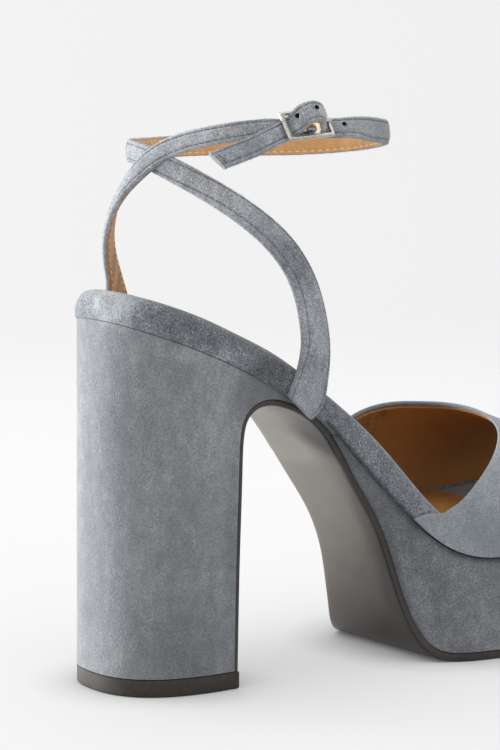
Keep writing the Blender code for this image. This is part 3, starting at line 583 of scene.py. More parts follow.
def foot_edges(x):
    """Y of the footbed's lateral and medial edges."""
    back = round_end(x / HEEL_ROUND, HEEL_POWER)
    lateral_toe = round_end((FOOT_LENGTH - x) / TOE_ROUND_LATERAL, TOE_POWER_LATERAL)
    medial_toe = round_end((FOOT_LENGTH - x) / TOE_ROUND_MEDIAL, TOE_POWER_MEDIAL)
    middle = TOE_SHIFT * ease((x - TOE_SHIFT_START) / (FOOT_LENGTH - TOE_SHIFT_START))
    lateral = middle - FOOTBED_LATERAL(x) * back * lateral_toe
    medial = middle + FOOTBED_MEDIAL(x) * back * medial_toe
    return lateral, medial


def stations(count, start=0.0, end=FOOT_LENGTH):
    """X places spread evenly along the footbed's edge."""
    x = FOOT_LENGTH * (1 - np.cos(np.linspace(0, np.pi, EDGE_SAMPLES))) / 2
    x = x[(x >= start) & (x <= end)]
    lateral, medial = foot_edges(x)
    run = gone_along(xyz(x, (medial - lateral) / 2, seat(x)))
    first = TIP_ARC if start <= 0 else 0.0
    last = run[-1] - (TIP_ARC if end >= FOOT_LENGTH else 0.0)
    return np.interp(np.linspace(first, last, count), run, x)


def outset_edge(x, y, outset):
    """A plan edge moved out along its own normal; outset may change along it."""
    across = np.gradient(x), np.gradient(y)
    size = np.hypot(*across)
    return x + outset * across[1] / size, y - outset * across[0] / size


def plan_edges(x, outset):
    """Plan points of both edges, lateral then medial, moved out of the footbed's outline."""
    lateral, medial = foot_edges(x)
    lateral = np.stack(outset_edge(x, lateral, outset), 1)
    medial = np.stack(outset_edge(x, medial, -outset), 1)
    return lateral, medial


def seat_point(plan, rise):
    """Points that stand on plan places of the footbed's underside, raised along its normal."""
    x = np.clip(plan[:, 0], 0, FOOT_LENGTH)
    normal_x, normal_z = seat_normal(x)
    return xyz(plan[:, 0] + rise * normal_x, plan[:, 1], seat(x) + rise * normal_z)


def both_sides(lateral, medial):
    """One ring from two edges that run heel to toe."""
    return np.concatenate([lateral, medial[::-1]])


def ring_faces(rings, count):
    """Quads between neighbouring rings of equally many points."""
    lower = np.arange(rings - 1)[:, None] * count + np.arange(count)[None, :]
    upper = lower + count
    return np.stack([lower, np.roll(lower, -1, 1), np.roll(upper, -1, 1), upper], -1).reshape(-1, 4)


def rung_faces(first, count):
    """Quads across a ring whose two halves run side by side."""
    i = np.arange(count // 2 - 1)
    return first + np.stack([i, i + 1, count - 2 - i, count - 1 - i], 1)


def add_object(name, data):
    made = bpy.data.objects.new(name, data)
    bpy.context.scene.collection.objects.link(made)
    return made


def fill_mesh(mesh, builder):
    """Fills a mesh from its builder, with the normals outwards."""
    bmesh.ops.recalc_face_normals(builder, faces=builder.faces)
    builder.to_mesh(mesh)
    builder.free()


def make_mesh(name, points, faces, materials, face_material=None):
    """A mesh from points in the shoe's frame."""
    mesh = bpy.data.meshes.new(name)
    places = (np.asarray(points, float).reshape(-1, 3) - ORIGIN) * MM
    mesh.from_pydata(places.tolist(), [], [list(face) for face in faces])
    for finish in materials:
        mesh.materials.append(finish)
    if face_material is not None:
        mesh.polygons.foreach_set("material_index", np.asarray(face_material, np.int32))
    builder = bmesh.new()
    builder.from_mesh(mesh)
    fill_mesh(mesh, builder)
    return mesh


def settle(piece, replaced=None):
    """Fixes a piece to the part's one body and hides the solid that it replaces."""
    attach(piece, "root")
    if replaced:
        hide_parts(replaced)
    return piece


def make_piece(name, points, faces, materials, face_material=None, replaced=None, slot="suede"):
    """A smooth piece from points in the shoe's frame."""
    mesh = make_mesh(name, points, faces, materials, face_material)
    mesh.shade_smooth()
    mesh.set_sharp_from_angle(angle=math.radians(SHARP_ANGLE))
    return settle(add_object(name, mesh), replaced)


def make_loft(name, rings, materials, **details):
    """A closed skin through rings, with rungs across its first and last ring."""
    rings = np.asarray(rings)
    count = rings.shape[1]
    last = (len(rings) - 1) * count
    faces = np.concatenate([ring_faces(len(rings), count), rung_faces(0, count), rung_faces(last, count)])
    return make_piece(name, rings, faces, materials, **details)


def mesh_places(mesh):
    """A mesh's points in the shoe's frame."""
    places = np.empty(len(mesh.vertices) * 3, np.float32)
    mesh.vertices.foreach_get("co", places)
    return places.reshape(-1, 3) / MM + ORIGIN


def groove_shade(places, grooves, shade):
    """How much darker points are beside seams and stitched grooves."""
    tree = KDTree(len(grooves))
    for number, point in enumerate(grooves):
        tree.insert(point, number)
    tree.balance()
    far = np.array([tree.find(place)[2] for place in places])
    return shade.dark * np.exp(-((far / shade.half) ** 2))


def add_nap_and_shade(piece, grooves=None, shade=GROOVE_SHADE, patches=NAP_AND_LIGHT_PATCHES):
    """Stores how light each point of a piece is brushed or worn, with painted light and shade in patches
    and painted shade beside grooves and seams, for its material to read.
    """
    places = mesh_places(piece.data)
    nap_and_shade = np.zeros(len(places))
    for patch in patches:
        away = (places - patch[:3]) / patch[3:6]
        nap_and_shade += patch.tone * np.exp(-((away**2).sum(1) ** 2))
    if grooves is not None:
        nap_and_shade -= groove_shade(places, grooves, shade)
    layer = piece.data.attributes.new("nap_and_shade", "FLOAT", "POINT")
    layer.data.foreach_set("value", nap_and_shade.astype(np.float32))
    return piece


def read_mesh(mesh):
    """Corner places of a mesh's triangles in the shoe's frame, and the number of each one's finish."""
    mesh.calc_loop_triangles()
    count = len(mesh.loop_triangles)
    corners = np.empty(count * 3, np.int32)
    mesh.loop_triangles.foreach_get("vertices", corners)
    finish = np.empty(count, np.int32)
    mesh.loop_triangles.foreach_get("material_index", finish)
    return mesh_places(mesh)[corners].reshape(-1, 3, 3), finish


def add_fuzz(piece, finish):
    """Short stray fibres that stand off the suede of a piece."""
    corners, number = read_mesh(piece.data)
    corners = corners[number == 0]
    normal = np.cross(corners[:, 1] - corners[:, 0], corners[:, 2] - corners[:, 0])
    area = np.linalg.norm(normal, axis=1) / 2
    chance = np.random.default_rng(FUZZ_SEED)
    pick = chance.choice(len(corners), int(area.sum() * FUZZ_DENSITY), p=area / area.sum())
    root = (corners[pick] * chance.dirichlet((1, 1, 1), len(pick))[:, :, None]).sum(1)
    lean = unit(normal[pick] / area[pick, None] / 2 + FUZZ_LEAN * unit(chance.normal(size=root.shape)))
    half = FUZZ_HALF * unit(np.cross(lean, chance.normal(size=root.shape)))
    tip = root + lean * FUZZ_LENGTH * chance.uniform(FUZZ_SHORTEST, 1, (len(root), 1))
    points = np.stack([root - half, root + half, tip], 1).reshape(-1, 3)
    make_piece(piece.name + "_fuzz", points, np.arange(len(points)).reshape(-1, 3), [finish])
    return piece


def srgb(red, green, blue):
    """A linear colour from 0 to 255 screen values."""
    shares = [value / 255 for value in (red, green, blue)]
    linear = [((c + 0.055) / 1.055) ** 2.4 if c > 0.04 else c / 12.92 for c in shares]
    return (*linear, 1.0)


def feed(tree, socket, value):
    """Links an input to another node's output, or sets it to a constant."""
    if isinstance(value, bpy.types.NodeSocket):
        tree.links.new(value, socket)
    else:
        socket.default_value = value


def node(tree, kind, values=(), **settings):
    """Outputs of a new shader node with these settings and inputs."""
    made = tree.nodes.new("ShaderNode" + kind)
    for name, value in settings.items():
        setattr(made, name, value)
    for name, value in dict(values).items():
        feed(tree, made.inputs[name], value)
    return made.outputs


def start_material(name, roughness, specular):
    made = bpy.data.materials.new(name)
    made.use_nodes = True
    inputs = made.node_tree.nodes["Principled BSDF"].inputs
    inputs["Roughness"].default_value = roughness
    inputs["Specular IOR Level"].default_value = specular
    return made, made.node_tree, inputs


def noise(tree, kind):
    """A noise in the part's own metres, as a value output."""
    place = node(tree, "TexCoord")["Object"]
    turned = {"Vector": place, "Scale": kind.stretch, "Rotation": kind.turn}
    place = node(tree, "Mapping", turned)["Vector"]
    return node(tree, "TexNoise", {"Vector": place, "Scale": kind.scale, "Detail": kind.detail})["Fac"]


def nap_and_shade_value(tree):
    """How much lighter or darker a piece is brushed or worn at each point, with its painted light and
    shade.
    """
    return node(tree, "Attribute", attribute_name="nap_and_shade")["Fac"]


def weigh(tree, terms, base):
    """Adds values with weights to a base: base + sum of weight times value."""
    total = base
    for value, weight in terms:
        total = node(tree, "Math", {0: value, 1: weight, 2: total}, operation="MULTIPLY_ADD")[0]
    return total


def paint(tree, inputs, value, stops):
    """Colours a material by a value, from stops of place and screen colour."""
    made = tree.nodes.new("ShaderNodeValToRGB")
    elements = made.color_ramp.elements
    while len(elements) < len(stops):
        elements.new(0.5)
    for element, (place, colour) in zip(elements, stops):
        element.position = place
        element.color = srgb(*colour)
    tree.links.new(value, made.inputs["Fac"])
    tree.links.new(made.outputs["Color"], inputs["Base Color"])


def add_bump(tree, inputs, value, strength, distance):
    values = {"Height": value, "Strength": strength, "Distance": distance * MM}
    tree.links.new(node(tree, "Bump", values)["Normal"], inputs["Normal"])


def suede(name, dark, middle, light, cloud, smudge, speckle):
    """Short grey nap: soft clouds where it was brushed, smaller smudges, a fine speckle, and the painted
    light and shade stored on the piece.
    """
    made, tree, inputs = start_material(name, 0.92, 0.12)
    clouds = noise(tree, CLOUDS)
    smudges = noise(tree, SMUDGES)
    fibres = noise(tree, FIBRES)
    terms = [(clouds, cloud), (smudges, smudge), (fibres, speckle), (nap_and_shade_value(tree), 1.0)]
    tone = weigh(tree, terms, 0.5 - (cloud + smudge + speckle) / 2)
    paint(tree, inputs, tone, [(0.0, dark), (0.5, middle), (1.0, light)])
    inputs["Sheen Weight"].default_value = SHEEN
    inputs["Sheen Roughness"].default_value = SHEEN_ROUGHNESS
    inputs["Sheen Tint"].default_value = srgb(*SHEEN_TINT)
    add_bump(tree, inputs, weigh(tree, [(fibres, 1.0), (smudges, 0.5)], 0.0), 0.5, 0.5)
    return made


def lining(name, light, dark, grain=0.5):
    """Smooth tan leather with a slanting grain."""
    made, tree, inputs = start_material(name, 0.5, 0.4)
    streaks = noise(tree, STREAKS)
    pores = noise(tree, PORES)
    terms = [(streaks, grain * STREAK_WEIGHT), (pores, PORE_WEIGHT), (nap_and_shade_value(tree), 1.0)]
    tone = weigh(tree, terms, 0.5 - (grain * STREAK_WEIGHT + PORE_WEIGHT) / 2)
    paint(tree, inputs, tone, [(0.0, DEEP_LINING), (0.15, dark), (0.85, light)])
    add_bump(tree, inputs, weigh(tree, [(streaks, 0.6), (pores, 0.5)], 0.0), 0.3, 0.2)
    return made


def plain_finish(name, light, dark, roughness, specular, scale, bump):
    """A smooth hard finish with slight changes of colour and gloss."""
    made, tree, inputs = start_material(name, roughness, specular)
    marks = noise(tree, Noise(scale, MARK_DETAIL))
    paint(tree, inputs, marks, [(0.3, dark), (0.7, light)])
    gloss = weigh(tree, [(marks, GLOSS_CHANGE)], roughness - GLOSS_CHANGE / 2)
    tree.links.new(gloss, inputs["Roughness"])
    add_bump(tree, inputs, marks, bump, 0.1)
    return made


def sole_leather(name):
    """Satin sole leather, painted lighter towards the top and the inner side of the shank as painted
    reflection and light, and darker towards the floor as painted shade.
    """
    made, tree, inputs = start_material(name, 0.3, 0.4)
    place = node(tree, "TexCoord")["Object"]
    # Painted reflection and light, growing towards the top and the inner side of the shank
    slope = node(tree, "VectorMath", {0: place, 1: SOLE_PAINTED_LIGHT}, operation="DOT_PRODUCT")["Value"]
    marks = noise(tree, SOLE_MARKS)
    tone = weigh(tree, [(slope, 1.0), (marks, MARK_WEIGHT), (nap_and_shade_value(tree), 1.0)], -MARK_WEIGHT / 2)
    paint(tree, inputs, tone, SOLE_TONES)
    add_bump(tree, inputs, marks, 0.05, 0.1)
    return made


def metal(name):
    made = plain_finish(name, (206, 204, 199), (172, 170, 166), 0.2, 0.5, 700.0, 0.08)
    made.node_tree.nodes["Principled BSDF"].inputs["Metallic"].default_value = 1.0
    return made


# Copies of one grey suede: the straps and the vamp are painted lighter, as light falls on them from the
# left and from above
RIM_SUEDE = suede("rim_suede", (64, 66, 70), (106, 110, 115), (164, 168, 172), 0.4, 0.55, 1.6)
PLATFORM_SUEDE = suede("platform_suede", (63, 65, 68), (102, 104, 108), (154, 157, 161), 0.5, 0.42, 0.95)
VAMP_SUEDE = suede("vamp_suede", (80, 84, 88), (124, 129, 134), (174, 179, 184), 0.38, 0.36, 0.7)
HEEL_SUEDE = suede("heel_suede", (80, 82, 85), (120, 123, 127), (166, 170, 171), 0.42, 0.42, 0.85)
STRAP_SUEDE = suede("strap_suede", (86, 88, 92), (140, 144, 149), (200, 204, 208), 0.3, 0.6, 1.2)
LINING = lining("tan_lining", (214, 172, 120), (178, 130, 80))
# Painted shade: a darker copy of the tan lining for the medial strap, whose inner face lies in shade
SHADED_LINING = lining("tan_lining_shaded", (190, 148, 98), (132, 92, 54), 0.9)
SOCK_LINING = lining("sock_lining", (182, 134, 74), (148, 102, 54))
VAMP_LINING = lining("vamp_lining", (182, 130, 74), (152, 104, 56), 0.2)
RAW_EDGE = plain_finish("raw_lining_edge", (206, 128, 72), (178, 104, 56), 0.7, 0.3, 900.0, 0.2)
SOLE = sole_leather("sole_leather")
SOLE_PAINT = plain_finish("sole_edge_paint", (54, 49, 46), (45, 41, 38), 0.4, 0.4, 300.0, 0.1)
RUBBER = plain_finish("top_piece_rubber", (60, 56, 53), (50, 46, 43), 0.7, 0.2, 400.0, 0.1)
METAL = metal("buckle_metal")
THREAD = plain_finish("grey_thread", (106, 110, 116), (84, 88, 94), 0.8, 0.2, 2500.0, 0.3)
CREAM = plain_finish("cream_thread", (238, 214, 176), (216, 188, 146), 0.7, 0.3, 2500.0, 0.3)
CUT = plain_finish("cut_leather", (58, 46, 38), (40, 32, 27), 0.8, 0.2, 1500.0, 0.3)


def footbed_ring(x, inset, share, rise):
    """A ring round the footbed, in from its edge, at a share of its thickness and a rise above that."""
    sides = []
    for edge in plan_edges(x, -inset):
        sides.append(seat_point(edge, share * FOOTBED_THICK(edge[:, 0]) + rise))
    return both_sides(*sides)


def footbed():
    x = stations(OUTLINE_STATIONS)
    profile = Spline(range(len(RIM)), RIM)(np.linspace(0, len(RIM) - 1, RIM_STEPS))
    rings = [footbed_ring(x, inset, share, 0.0) for inset, share in profile]
    rings += [footbed_ring(x, inset, 1.0, -deep) for inset, deep in RECESS]
    piece = make_loft("footbed_suede", rings, [RIM_SUEDE], replaced="footbed")
    # Painted shade along the rim's seam with the platform
    seam = rings[RIM_SEAM_RING]
    return add_nap_and_shade(piece, seam[seam[:, 0] > RIM_SEAM_FROM], RIM_SHADE)


def sock_lining():
    x = stations(OUTLINE_STATIONS, 0.0, SOCK_END)
    low = GAP - RECESS_DEEP
    rings = [footbed_ring(x, SOCK_INSET + inset, 1.0, low + rise) for inset, rise in SOCK_EDGE]
    return make_loft("sock_leather", rings, [SOCK_LINING], replaced="sock_lining", slot="lining_leather")


def even_turns(path, count):
    """Places along an XZ path, spread over its length and closer where it turns."""
    at = np.linspace(0, path.knots[-1], PATH_SAMPLES)
    ahead = np.diff(path(at)[:, :2], axis=0)
    heading = np.unwrap(np.arctan2(ahead[:, 1], ahead[:, 0]))
    turned = np.abs(np.diff(heading, prepend=heading[0])) / EVEN_TURN
    gone = np.hypot(ahead[:, 0], ahead[:, 1]) / EVEN_STEP
    share = running(turned + gone)
    return np.interp(np.linspace(0, share[-1], count), share, at)


def outsole_sections():
    """Rows of x, z, inward normal x and z, thickness, lateral Y and medial Y along the outsole."""
    path = through([(row.x, row.z, 0, row.thick, row.lateral, row.medial) for row in OUTSOLE])
    at = even_turns(path, OUTSOLE_STATIONS)
    run = path(at)
    ahead = path(at + SOLE_REACH) - path(at - SOLE_REACH)
    size = np.hypot(ahead[:, 0], ahead[:, 1])
    heel_part = np.stack(
        [run[:, 0], np.maximum(run[:, 1], 0), -ahead[:, 1] / size, ahead[:, 0] / size, run[:, 3]], 1
    )
    heel_sides = np.stack([run[:, 0], -run[:, 4], run[:, 0], run[:, 5]], 1)
    x = stations(FOREFOOT_STATIONS, FOREFOOT_X)
    lift = toe_lift(x)
    slope = np.gradient(lift, x)
    size = np.hypot(1, slope)
    thick = np.full_like(x, FOREFOOT_THICK)
    toe_part = np.stack([x, lift, -slope / size, 1 / size, thick], 1)
    lateral, medial = plan_edges(x, GAP + WALL)
    toe_sides = np.concatenate([lateral, medial], 1)
    return np.concatenate([heel_part, toe_part]), np.concatenate([heel_sides, toe_sides])


def sole_layer(sections, sides, depth, inset):
    """Lateral and medial points at a depth into the outsole, drawn in from its edges."""
    move_x, move_z = (sections[:, 2:4] * depth[:, None]).T
    z = sections[:, 1] + move_z
    lateral = xyz(sides[:, 0] + move_x, sides[:, 1] + inset, z)
    medial = xyz(sides[:, 2] + move_x, sides[:, 3] - inset, z)
    return lateral, medial


def outsole():
    sections, sides = outsole_sections()
    thick = sections[:, 4]
    width = (sides[:, 3] - sides[:, 1]) / 2
    lateral_loops, medial_loops = [], []
    for row in SOLE_EDGE:
        inset = np.minimum(row.inset, width / 3)
        lateral, medial = sole_layer(sections, sides, np.minimum(row.depth, thick), inset)
        lateral_loops.append(lateral)
        medial_loops.append(medial)
    slats = []
    for share in np.linspace(0, 1, SOLE_SLATS + 2)[1:-1]:
        slats.append(lateral_loops[0] * (1 - share) + medial_loops[0] * share)
    rings = np.stack(lateral_loops[::-1] + slats + medial_loops, 1)
    finish = np.zeros((len(rings) - 1, rings.shape[1]), int)
    finish[:, [0, 1, -3, -2]] = 1
    caps = np.zeros(2 * (rings.shape[1] // 2 - 1), int)
    made = np.concatenate([finish.ravel(), caps])
    finishes = [SOLE, SOLE_PAINT]
    details = {"face_material": made, "replaced": "outsole", "slot": "sole_leather"}
    # The sole gets painted shade and painted highlights in patches
    return add_nap_and_shade(make_loft("outsole_leather", rings, finishes, **details), patches=SOLE_LIGHT_AND_SHADE_PATCHES)


def platform():
    sections, sides = outsole_sections()
    lateral, medial = sole_layer(sections, sides, sections[:, 4] + GAP, 0.0)
    high = seat(lateral[:, 0]) - GAP - lateral[:, 2] > PLATFORM_TIP
    ahead = high & (lateral[:, 0] > PLATFORM_FROM)
    lateral, medial = lateral[ahead], medial[ahead]
    x = np.minimum((lateral[:, 0] + medial[:, 0]) / 2, sections[-1, 0])
    x = np.where(x > BALL_X, sections[ahead, 0], x)
    step = (GAP + WALL) * ease((x - STEP_FROM) / (STEP_TO - STEP_FROM))
    halves = []
    for foot, plan, side in zip((lateral, medial), plan_edges(x, step), (-1, 1)):
        head = xyz(*plan.T, seat(x) - GAP)
        drop = head[:, 2] - foot[:, 2]
        lip = np.minimum(PLATFORM_LIP, drop / LIP_PART)
        bulge = side * np.minimum(PLATFORM_BULGE, drop / BULGE_PART)
        loops = [head - xyz(0, side * lip * inward, lip * down) for inward, down in LIP_EDGE]
        shoulder = head - xyz(0, 0, LIP_FALL * lip)
        for part in np.linspace(0, 1, PLATFORM_STEPS):
            wall = shoulder * (1 - part) + foot * part
            wall[:, 1] += bulge * 4 * part * (1 - part)
            loops.append(wall)
        halves.append(loops)
    rings = np.stack(halves[0] + halves[1][::-1], 1)
    piece = make_loft("platform_suede", rings, [PLATFORM_SUEDE], replaced="platform")
    # Painted shade along the platform's upper seams
    seam = rings[:, [0, 1, -2, -1]].reshape(-1, 3)
    return add_nap_and_shade(piece, seam, PLATFORM_SHADE)


def heel_outline(back, front):
    """Lateral and medial plan edges of the heel between its back and a straight front."""
    turn = np.linspace(HEEL_ARC_FROM, np.pi / 2, HEEL_ARC_POINTS)
    arc = back + HEEL_ROUND * (1 - np.cos(turn) ** (2 / HEEL_POWER))
    side = np.linspace(back + HEEL_ROUND, front, HEEL_SIDE_POINTS + 1)[1:]
    x = np.concatenate([arc, side])
    width = round_end((x - back) / HEEL_ROUND, HEEL_POWER)
    lateral = np.stack([x, -HEEL_LATERAL(x) * width], 1)
    medial = np.stack([x, HEEL_MEDIAL(x) * width], 1)
    return lateral, medial


def heel_block():
    """Level rings whose straight fronts lie on the outsole's inner face, up to the end of the wing."""
    sections, sides = outsole_sections()
    breast, _ = sole_layer(sections, sides, sections[:, 4] + GAP, 0.0)
    foot = TOP_PIECE_THICK + GAP
    front = breast[breast[:, 0] <= WING_END]
    level = (front[:, 2] - foot) / (seat(front[:, 0]) - GAP - foot)
    fronts = np.append(front[:, 0], front[-1, 0])
    levels = np.append(np.maximum(level, 0), 1.0)
    rings = []
    for share, front_x in zip(levels, fronts):
        ring = []
        for edge in heel_outline(HEEL_LEAN * share, front_x):
            height = foot + share * (seat(edge[:, 0]) - GAP - foot)
            ring.append(xyz(*edge.T, height))
        rings.append(both_sides(*ring))
    return add_nap_and_shade(make_loft("heel_suede", rings, [HEEL_SUEDE], replaced="heel_block"))


def heel_top_piece():
    middle = np.array([HEEL_ROUND, 0.0])
    rings = []
    for inset, z in TOP_PIECE_EDGE:
        shrink = 1 - inset / HEEL_LATERAL(0.0)
        edges = [middle + (edge - middle) * shrink for edge in heel_outline(0.0, TOP_PIECE_FRONT)]
        rings.append(both_sides(*[xyz(*edge.T, z) for edge in edges]))
    return make_loft("heel_rubber", rings, [RUBBER], replaced="heel_top_piece", slot="top_piece_rubber")


def vamp_point(x, around, depth):
    """A point of the vamp over footbed station x, that far round its section, at a depth in its wall."""
    normal_x, normal_z = seat_normal(x)
    lateral, medial = foot_edges(x)
    out = GAP + WALL - depth
    reach = np.abs(around)
    rise = WALL_RISE * np.minimum((1 - reach) / (1 - ARCH_SHARE), 1)
    place_x = x + rise * normal_x
    wall_z = seat(x) + rise * normal_z
    turn = np.minimum(reach / ARCH_SHARE, 1) * np.pi / 2
    ridge = RIDGE_SHIFT + (lateral + medial) / 2
    edge = np.where(around < 0, lateral - out, medial + out)
    y = ridge + (edge - ridge) * np.sin(turn) ** (2 / ARCH_POWER)
    crown = CROWN_Z(place_x) - depth - wall_z
    return xyz(place_x, y, wall_z + crown * np.abs(np.cos(turn)) ** (2 / ARCH_POWER))


def vamp_layer(name, outer, inner, set_back, foot, finish, **details):
    """One sheet of the vamp between two depths, with rounded edges at the topline and the toe."""
    around = np.linspace(-foot, foot, VAMP_LINES)[:, None]
    back = TOPLINE_X(around[:, 0])[:, None] + set_back
    front = TOE_EDGE_MIDDLE + TOE_EDGE_SIDE * around**2 - set_back
    half = (inner - outer) / 2
    turn = np.pi * (np.arange(FOLD_POINTS) + 0.5) / FOLD_POINTS
    share = np.linspace(0, 1, VAMP_STATIONS)[None, :]
    body = back + half + (front - back - 2 * half) * share
    pull = half * (1 - np.sin(turn))
    depths = outer + half * (1 - np.cos(turn))
    sides = []
    for rounds, face in ((turn < np.pi / 2, outer), (turn > np.pi / 2, inner)):
        back_fold = back + pull[rounds][None, :]
        front_fold = front - pull[rounds][None, :]
        edge = depths[rounds]
        order = -1 if face == outer else 1
        x = np.concatenate([back_fold[:, ::order], body, front_fold[:, ::-order]], 1)
        depth = np.concatenate([edge[::order], np.full(VAMP_STATIONS, face), edge[::-order]])
        sides.append(vamp_point(x, np.broadcast_to(around, x.shape), depth[None, :]))
    rings = np.concatenate([sides[0], sides[1][:, ::-1]], 1)
    return make_loft(name, rings, [finish], replaced="vamp", **details)


def vamp():
    add_nap_and_shade(vamp_layer("vamp_suede", 0.0, SUEDE_WALL, 0.0, 1.0, VAMP_SUEDE))
    inside = (SUEDE_WALL + LINING_GAP, WALL, LINING_BACK, LINING_FOOT)
    piece = vamp_layer("vamp_lining", *inside, VAMP_LINING, slot="lining_leather")
    # Painted shade inside the vamp's lining
    add_nap_and_shade(piece, patches=LINING_SHADE_PATCHES)


def buckle_axes():
    """Unit vectors along the buckle, across it (upwards) and out of its face."""
    along = unit(BUCKLE_ALONG)
    up = np.array([0.0, 0.0, 1.0])
    level = unit(np.cross(up, along))
    lean = math.radians(BUCKLE_LEAN)
    out = up * math.sin(lean) - level * math.cos(lean)
    out = unit(out - along * (out @ along))
    return np.stack([along, np.cross(out, along), out])


def in_buckle(along, across, out):
    return BUCKLE_CENTRE + xyz(along, across, out) @ buckle_axes()


def frame_out(along):
    """How far the buckle's frame stands out at a place along it."""
    return FRAME_RISE + FRAME_SLOPE * along


def prong_out(along):
    """How far the prong's middle line stands out, as it slopes down to the front bar."""
    return PRONG_HEIGHT - PRONG_DROP * (along - PRONG_ROOT)


def buckle_strap_rows(rows):
    return [StrapRow(*in_buckle(*row[:3]), row.width, BUCKLE_LEAN, 0, row.thick) for row in rows]


def fold_rows():
    """The strap's end, turned round the centre bar."""
    rows = []
    for step in range(FOLD_STEPS):
        turn = math.radians(-90 + FOLD_TURN * step / (FOLD_STEPS - 1))
        along = FOLD_RADIUS * math.cos(turn)
        out = FRAME_RISE + FOLD_RADIUS * math.sin(turn)
        rows.append(BuckleRow(along, STRAP_TO_BAR[-1].across, out, STRAP_TO_BAR[-1].width, FOLD_THICK))
    return buckle_strap_rows(rows)


def turn_level(level, turn):
    """Level directions turned clockwise, as seen from above."""
    x, y = level[:, 0], level[:, 1]
    cos, sin = np.cos(turn), np.sin(turn)
    return xyz(x * cos + y * sin, y * cos - x * sin, 0)


def strap_frames(rows, fold_from=None):
    """Middle line, directions across and out, width and thickness along a strap."""
    path = through(rows)
    length = path.knots[-1]
    at = np.linspace(0, length, int(length / STRAP_STEP) + 1)
    run = path(at)
    forward = unit(path(at + STRAP_REACH)[:, :3] - path(at - STRAP_REACH)[:, :3])
    turned = ease((run[:, 2] - RIM_TOP) / RIM_TO_ANKLE)
    ellipse = xyz(turned * (run[:, 0] - ANKLE_X) / ANKLE_LONG**2, run[:, 1] / ANKLE_WIDE**2, 0)
    level = turn_level(unit(ellipse), np.radians(run[:, 5]))
    lean = np.radians(run[:, 4])[:, None]
    hint = level * np.cos(lean) + np.array([0.0, 0.0, 1.0]) * np.sin(lean)
    across = unit(np.cross(forward, hint))
    same_way = np.sign((across[1:] * across[:-1]).sum(1))
    across[1:] *= np.cumprod(np.where(same_way < 0, -1, 1))[:, None]
    if fold_from is not None:
        folded = at > path.knots[fold_from - 1]
        across[folded] = across[~folded][-1]
        across = unit(across - forward * (across * forward).sum(1)[:, None])
    return run, across, np.cross(across, forward)


def strap_places(half):
    """Places across a strap, dense along both edges, for straps of several half widths."""
    edge = np.array(EDGE_STEPS)[None, :] - half[:, None]
    reach = -edge[:, -1:]
    middle = reach * np.linspace(-1, 1, MIDDLE_STEPS + 2)[None, 1:-1]
    return np.concatenate([edge, middle, -edge[:, ::-1]], 1)


def strap_face(places, half, deep, power):
    """How far a strap's face stands off its middle, with round edges."""
    share = np.abs(places) / half[:, None]
    return deep[:, None] * (1 - np.minimum(share, 1) ** power) ** (1 / power)


def seam_shift(run, amount):
    """How far to one side the stitches lie along a strap, as a share of its half width."""
    above = ease((run[:, 2] - SEAM_FROM) / SEAM_EASE)
    below = ease((SEAM_TO - run[:, 2]) / SEAM_EASE)
    return amount * above * below


def slant(rings, amount, axis, forward):
    """Cuts a strap's first end on the slant: points move along it by how far they lie on an axis."""
    middle = rings.mean(1)
    share = 1 - ease(gone_along(middle) / SLANT_REACH)
    side = (rings - middle[:, None]) @ np.asarray(axis, float)
    return rings + amount * (side * share[:, None])[:, :, None] * np.asarray(forward, float)


def strap_rings(rows, shift=0.0, fold_from=None):
    """Sections along a strap with their outer half first, and the outward directions."""
    run, across, out = strap_frames(rows, fold_from)
    half, deep = run[:, 3] / 2, run[:, 6] / 2
    places = strap_places(half)
    from_stitch = half[:, None] - np.abs(places) - STITCH_INSET
    trough = TROUGH_DEEP * np.exp(-((from_stitch / TROUGH_HALF) ** 2))
    share = places / half[:, None]
    aside = seam_shift(run, shift)[:, None]
    places = half[:, None] * (share + aside) / (1 + aside * share)
    outer = strap_face(places, half, deep, OUTER_POWER) - trough
    inner = trough / 2 - strap_face(places, half, deep, INNER_POWER)
    sides = []
    for stand in (outer, inner):
        flat = run[:, None, :3] + places[:, :, None] * across[:, None]
        sides.append(flat + stand[:, :, None] * out[:, None])
    rings = np.concatenate([sides[0], sides[1][:, -2:0:-1]], 1)
    return rings, out


def strap_finishes(rings):
    """Which faces of a strap are suede, which show lining, and which the raw edge of the lining."""
    count = rings.shape[1]
    outer = count // 2 + 1
    finish = np.zeros((len(rings) - 1, count), int)
    finish[:, outer + 1 : count - 2] = 1
    finish[:, [outer, count - 2]] = 2
    loop = rings[1:, :, 2].mean(1) > LOOP_FROM
    border = [outer, outer + 1, count - 3, count - 2]
    finish[np.ix_(loop, border)] = 0
    caps = np.zeros(2 * (count // 2 - 1), int)
    return np.concatenate([finish.ravel(), caps])


def capsules(name, paths, normals, radius, finish, slot):
    """Many short threads in one mesh: tubes along paths, whose ends dip into what they lie on."""
    steps = paths.shape[1]
    share = np.linspace(-1, 1, steps)
    lift = radius * (THREAD_LIFT - THREAD_DIP * share**4)
    size = np.sqrt(np.clip(1 - THREAD_TAPER * share**6, THREAD_THINNEST, 1)) * radius
    ahead = unit(np.gradient(paths, axis=1))
    side = unit(np.cross(ahead, normals))
    up = np.cross(side, ahead)
    turn = np.linspace(0, 2 * np.pi, THREAD_SIDES, endpoint=False)
    spread = side[:, :, None] * np.cos(turn)[:, None] + up[:, :, None] * np.sin(turn)[:, None]
    points = (paths + up * lift[:, None])[:, :, None] + spread * size[:, None, None]
    starts = np.arange(len(paths))[:, None] * steps * THREAD_SIDES
    quads = (ring_faces(steps, THREAD_SIDES)[None] + starts[:, :, None]).reshape(-1, 4).tolist()
    first = np.arange(THREAD_SIDES)
    last = first + (steps - 1) * THREAD_SIDES
    ends = np.concatenate([starts + first, starts + last]).tolist()
    return make_piece(name, points, quads + ends, [finish], slot=slot)


